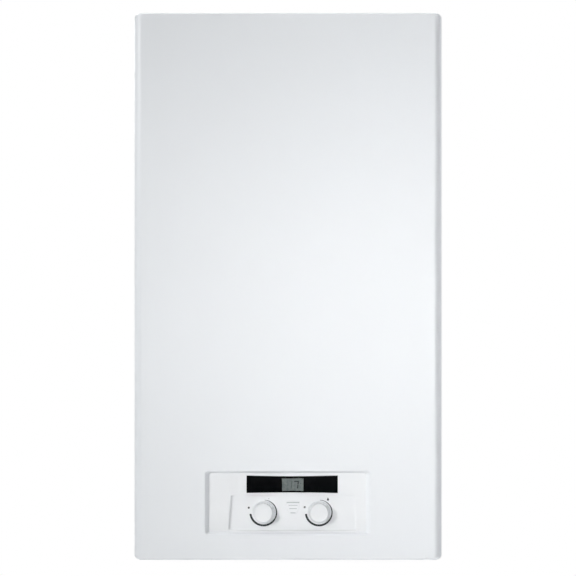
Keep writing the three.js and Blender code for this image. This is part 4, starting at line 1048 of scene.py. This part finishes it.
# ------------------------------------------------------------------ floor, light
def radial_floor():
    bm = bm_new()
    bmesh.ops.create_circle(bm, cap_ends=True, segments=128, radius=3.6)
    ob = to_object(bm, "floor")
    ob.location = (0, 0.1, -1.8)
    k = Mat("floor", rough=0.9, spec=0.15)
    k.color(k.ramp(k.noise(1.2, 2.0), [(0.3, lin(238, 238, 238)), (0.7, lin(242, 242, 242))]))
    k.bump(k.noise(40.0, 3.0), 0.02, 0.001)
    length = k.t.nodes.new("ShaderNodeVectorMath")
    length.operation = "LENGTH"
    k.t.links.new(k.coord.outputs["Object"], length.inputs[0])
    fade = k.t.nodes.new("ShaderNodeMapRange")
    fade.interpolation_type = "SMOOTHSTEP"
    fade.inputs["From Min"].default_value = 0.9
    fade.inputs["From Max"].default_value = 3.2
    k.t.links.new(length.outputs["Value"], fade.inputs["Value"])
    clear = k.t.nodes.new("ShaderNodeBsdfTransparent")
    blend = k.t.nodes.new("ShaderNodeMixShader")
    k.t.links.new(fade.outputs["Result"], blend.inputs["Fac"])
    k.t.links.new(k.b.outputs["BSDF"], blend.inputs[1])
    k.t.links.new(clear.outputs["BSDF"], blend.inputs[2])
    k.t.links.new(blend.outputs["Shader"], k.t.nodes["Material Output"].inputs["Surface"])
    ob.data.materials.append(k.m)
    return ob


floor = radial_floor()
floor.visible_diffuse = False                # the floor takes light and gives none back


def area(name, loc, aim, size, power, color=(1, 1, 1), spread=180.0):
    d = bpy.data.lights.new(name, "AREA")
    d.shape = "RECTANGLE"
    d.size, d.size_y = size
    d.energy = power
    d.color = color
    d.spread = math.radians(spread)
    ob = bpy.data.objects.new(name, d)
    scene.collection.objects.link(ob)
    ob.location = loc
    ob.rotation_euler = (Vector(aim) - Vector(loc)).to_track_quat("-Z", "Y").to_euler()
    return ob


soft = area("front_soft", (0.50, -5.3, -0.04), (0.165, -0.3, -0.09), (1.9, 1.1), 2.28, (1, 1, 1), 23.4)
soft.visible_camera = False
area("key_left", (-3.0, -3.1, 1.15), (0.74, -1.67, -0.07), (0.9, 0.9), 29.3, (1.0, 0.995, 0.985), 60.0)
area("side_right", (2.4, 0.25, 0.5), (0.2, -0.1, 0.0), (1.6, 1.8), 15.0, (0.98, 0.99, 1.0))
area("side_left", (-2.4, 0.35, 0.5), (-0.2, -0.1, 0.0), (1.6, 1.8), 3.0, (0.98, 0.99, 1.0))
area("top_soft", (0.0, -0.8, 2.2), (0.0, -0.2, 0.0), (1.6, 1.2), 13.0)
area("back_soft", (-0.8, 2.3, 1.2), (0.0, 0.0, 0.0), (1.6, 1.6), 40.0)
under = area("under_soft", (0.35, -0.85, -1.6), (0.1, -0.2, -0.1), (1.2, 1.0), 7.0)
under.visible_camera = False
on_floor = area("floor_soft", (0.0, 0.0, 2.6), (0.0, 0.0, -1.8), (2.6, 2.6), 185.0)
only_floor = bpy.data.collections.new("only_floor")
only_floor.objects.link(floor)
on_floor.light_linking.receiver_collection = only_floor

world = bpy.data.worlds.new("studio")
scene.world = world
world.use_nodes = True
wt = world.node_tree
wt.nodes.clear()
out = wt.nodes.new("ShaderNodeOutputWorld")
mix = wt.nodes.new("ShaderNodeMixShader")
path = wt.nodes.new("ShaderNodeLightPath")
seen = wt.nodes.new("ShaderNodeBackground")
seen.inputs["Color"].default_value = (1, 1, 1, 1)
seen.inputs["Strength"].default_value = 1.0
lit = wt.nodes.new("ShaderNodeBackground")
lit.inputs["Color"].default_value = (0.95, 0.97, 1.0, 1)
way = wt.nodes.new("ShaderNodeTexCoord")
parts = wt.nodes.new("ShaderNodeSeparateXYZ")
fall = wt.nodes.new("ShaderNodeMapRange")
fall.inputs["From Min"].default_value = -0.9
fall.inputs["From Max"].default_value = 0.4
fall.inputs["To Min"].default_value = 0.08
fall.inputs["To Max"].default_value = 0.5
wt.links.new(way.outputs["Generated"], parts.inputs["Vector"])
wt.links.new(parts.outputs["Y"], fall.inputs["Value"])
wt.links.new(fall.outputs["Result"], lit.inputs["Strength"])
wt.links.new(path.outputs["Is Camera Ray"], mix.inputs["Fac"])
wt.links.new(lit.outputs["Background"], mix.inputs[1])
wt.links.new(seen.outputs["Background"], mix.inputs[2])
wt.links.new(mix.outputs["Shader"], out.inputs["Surface"])
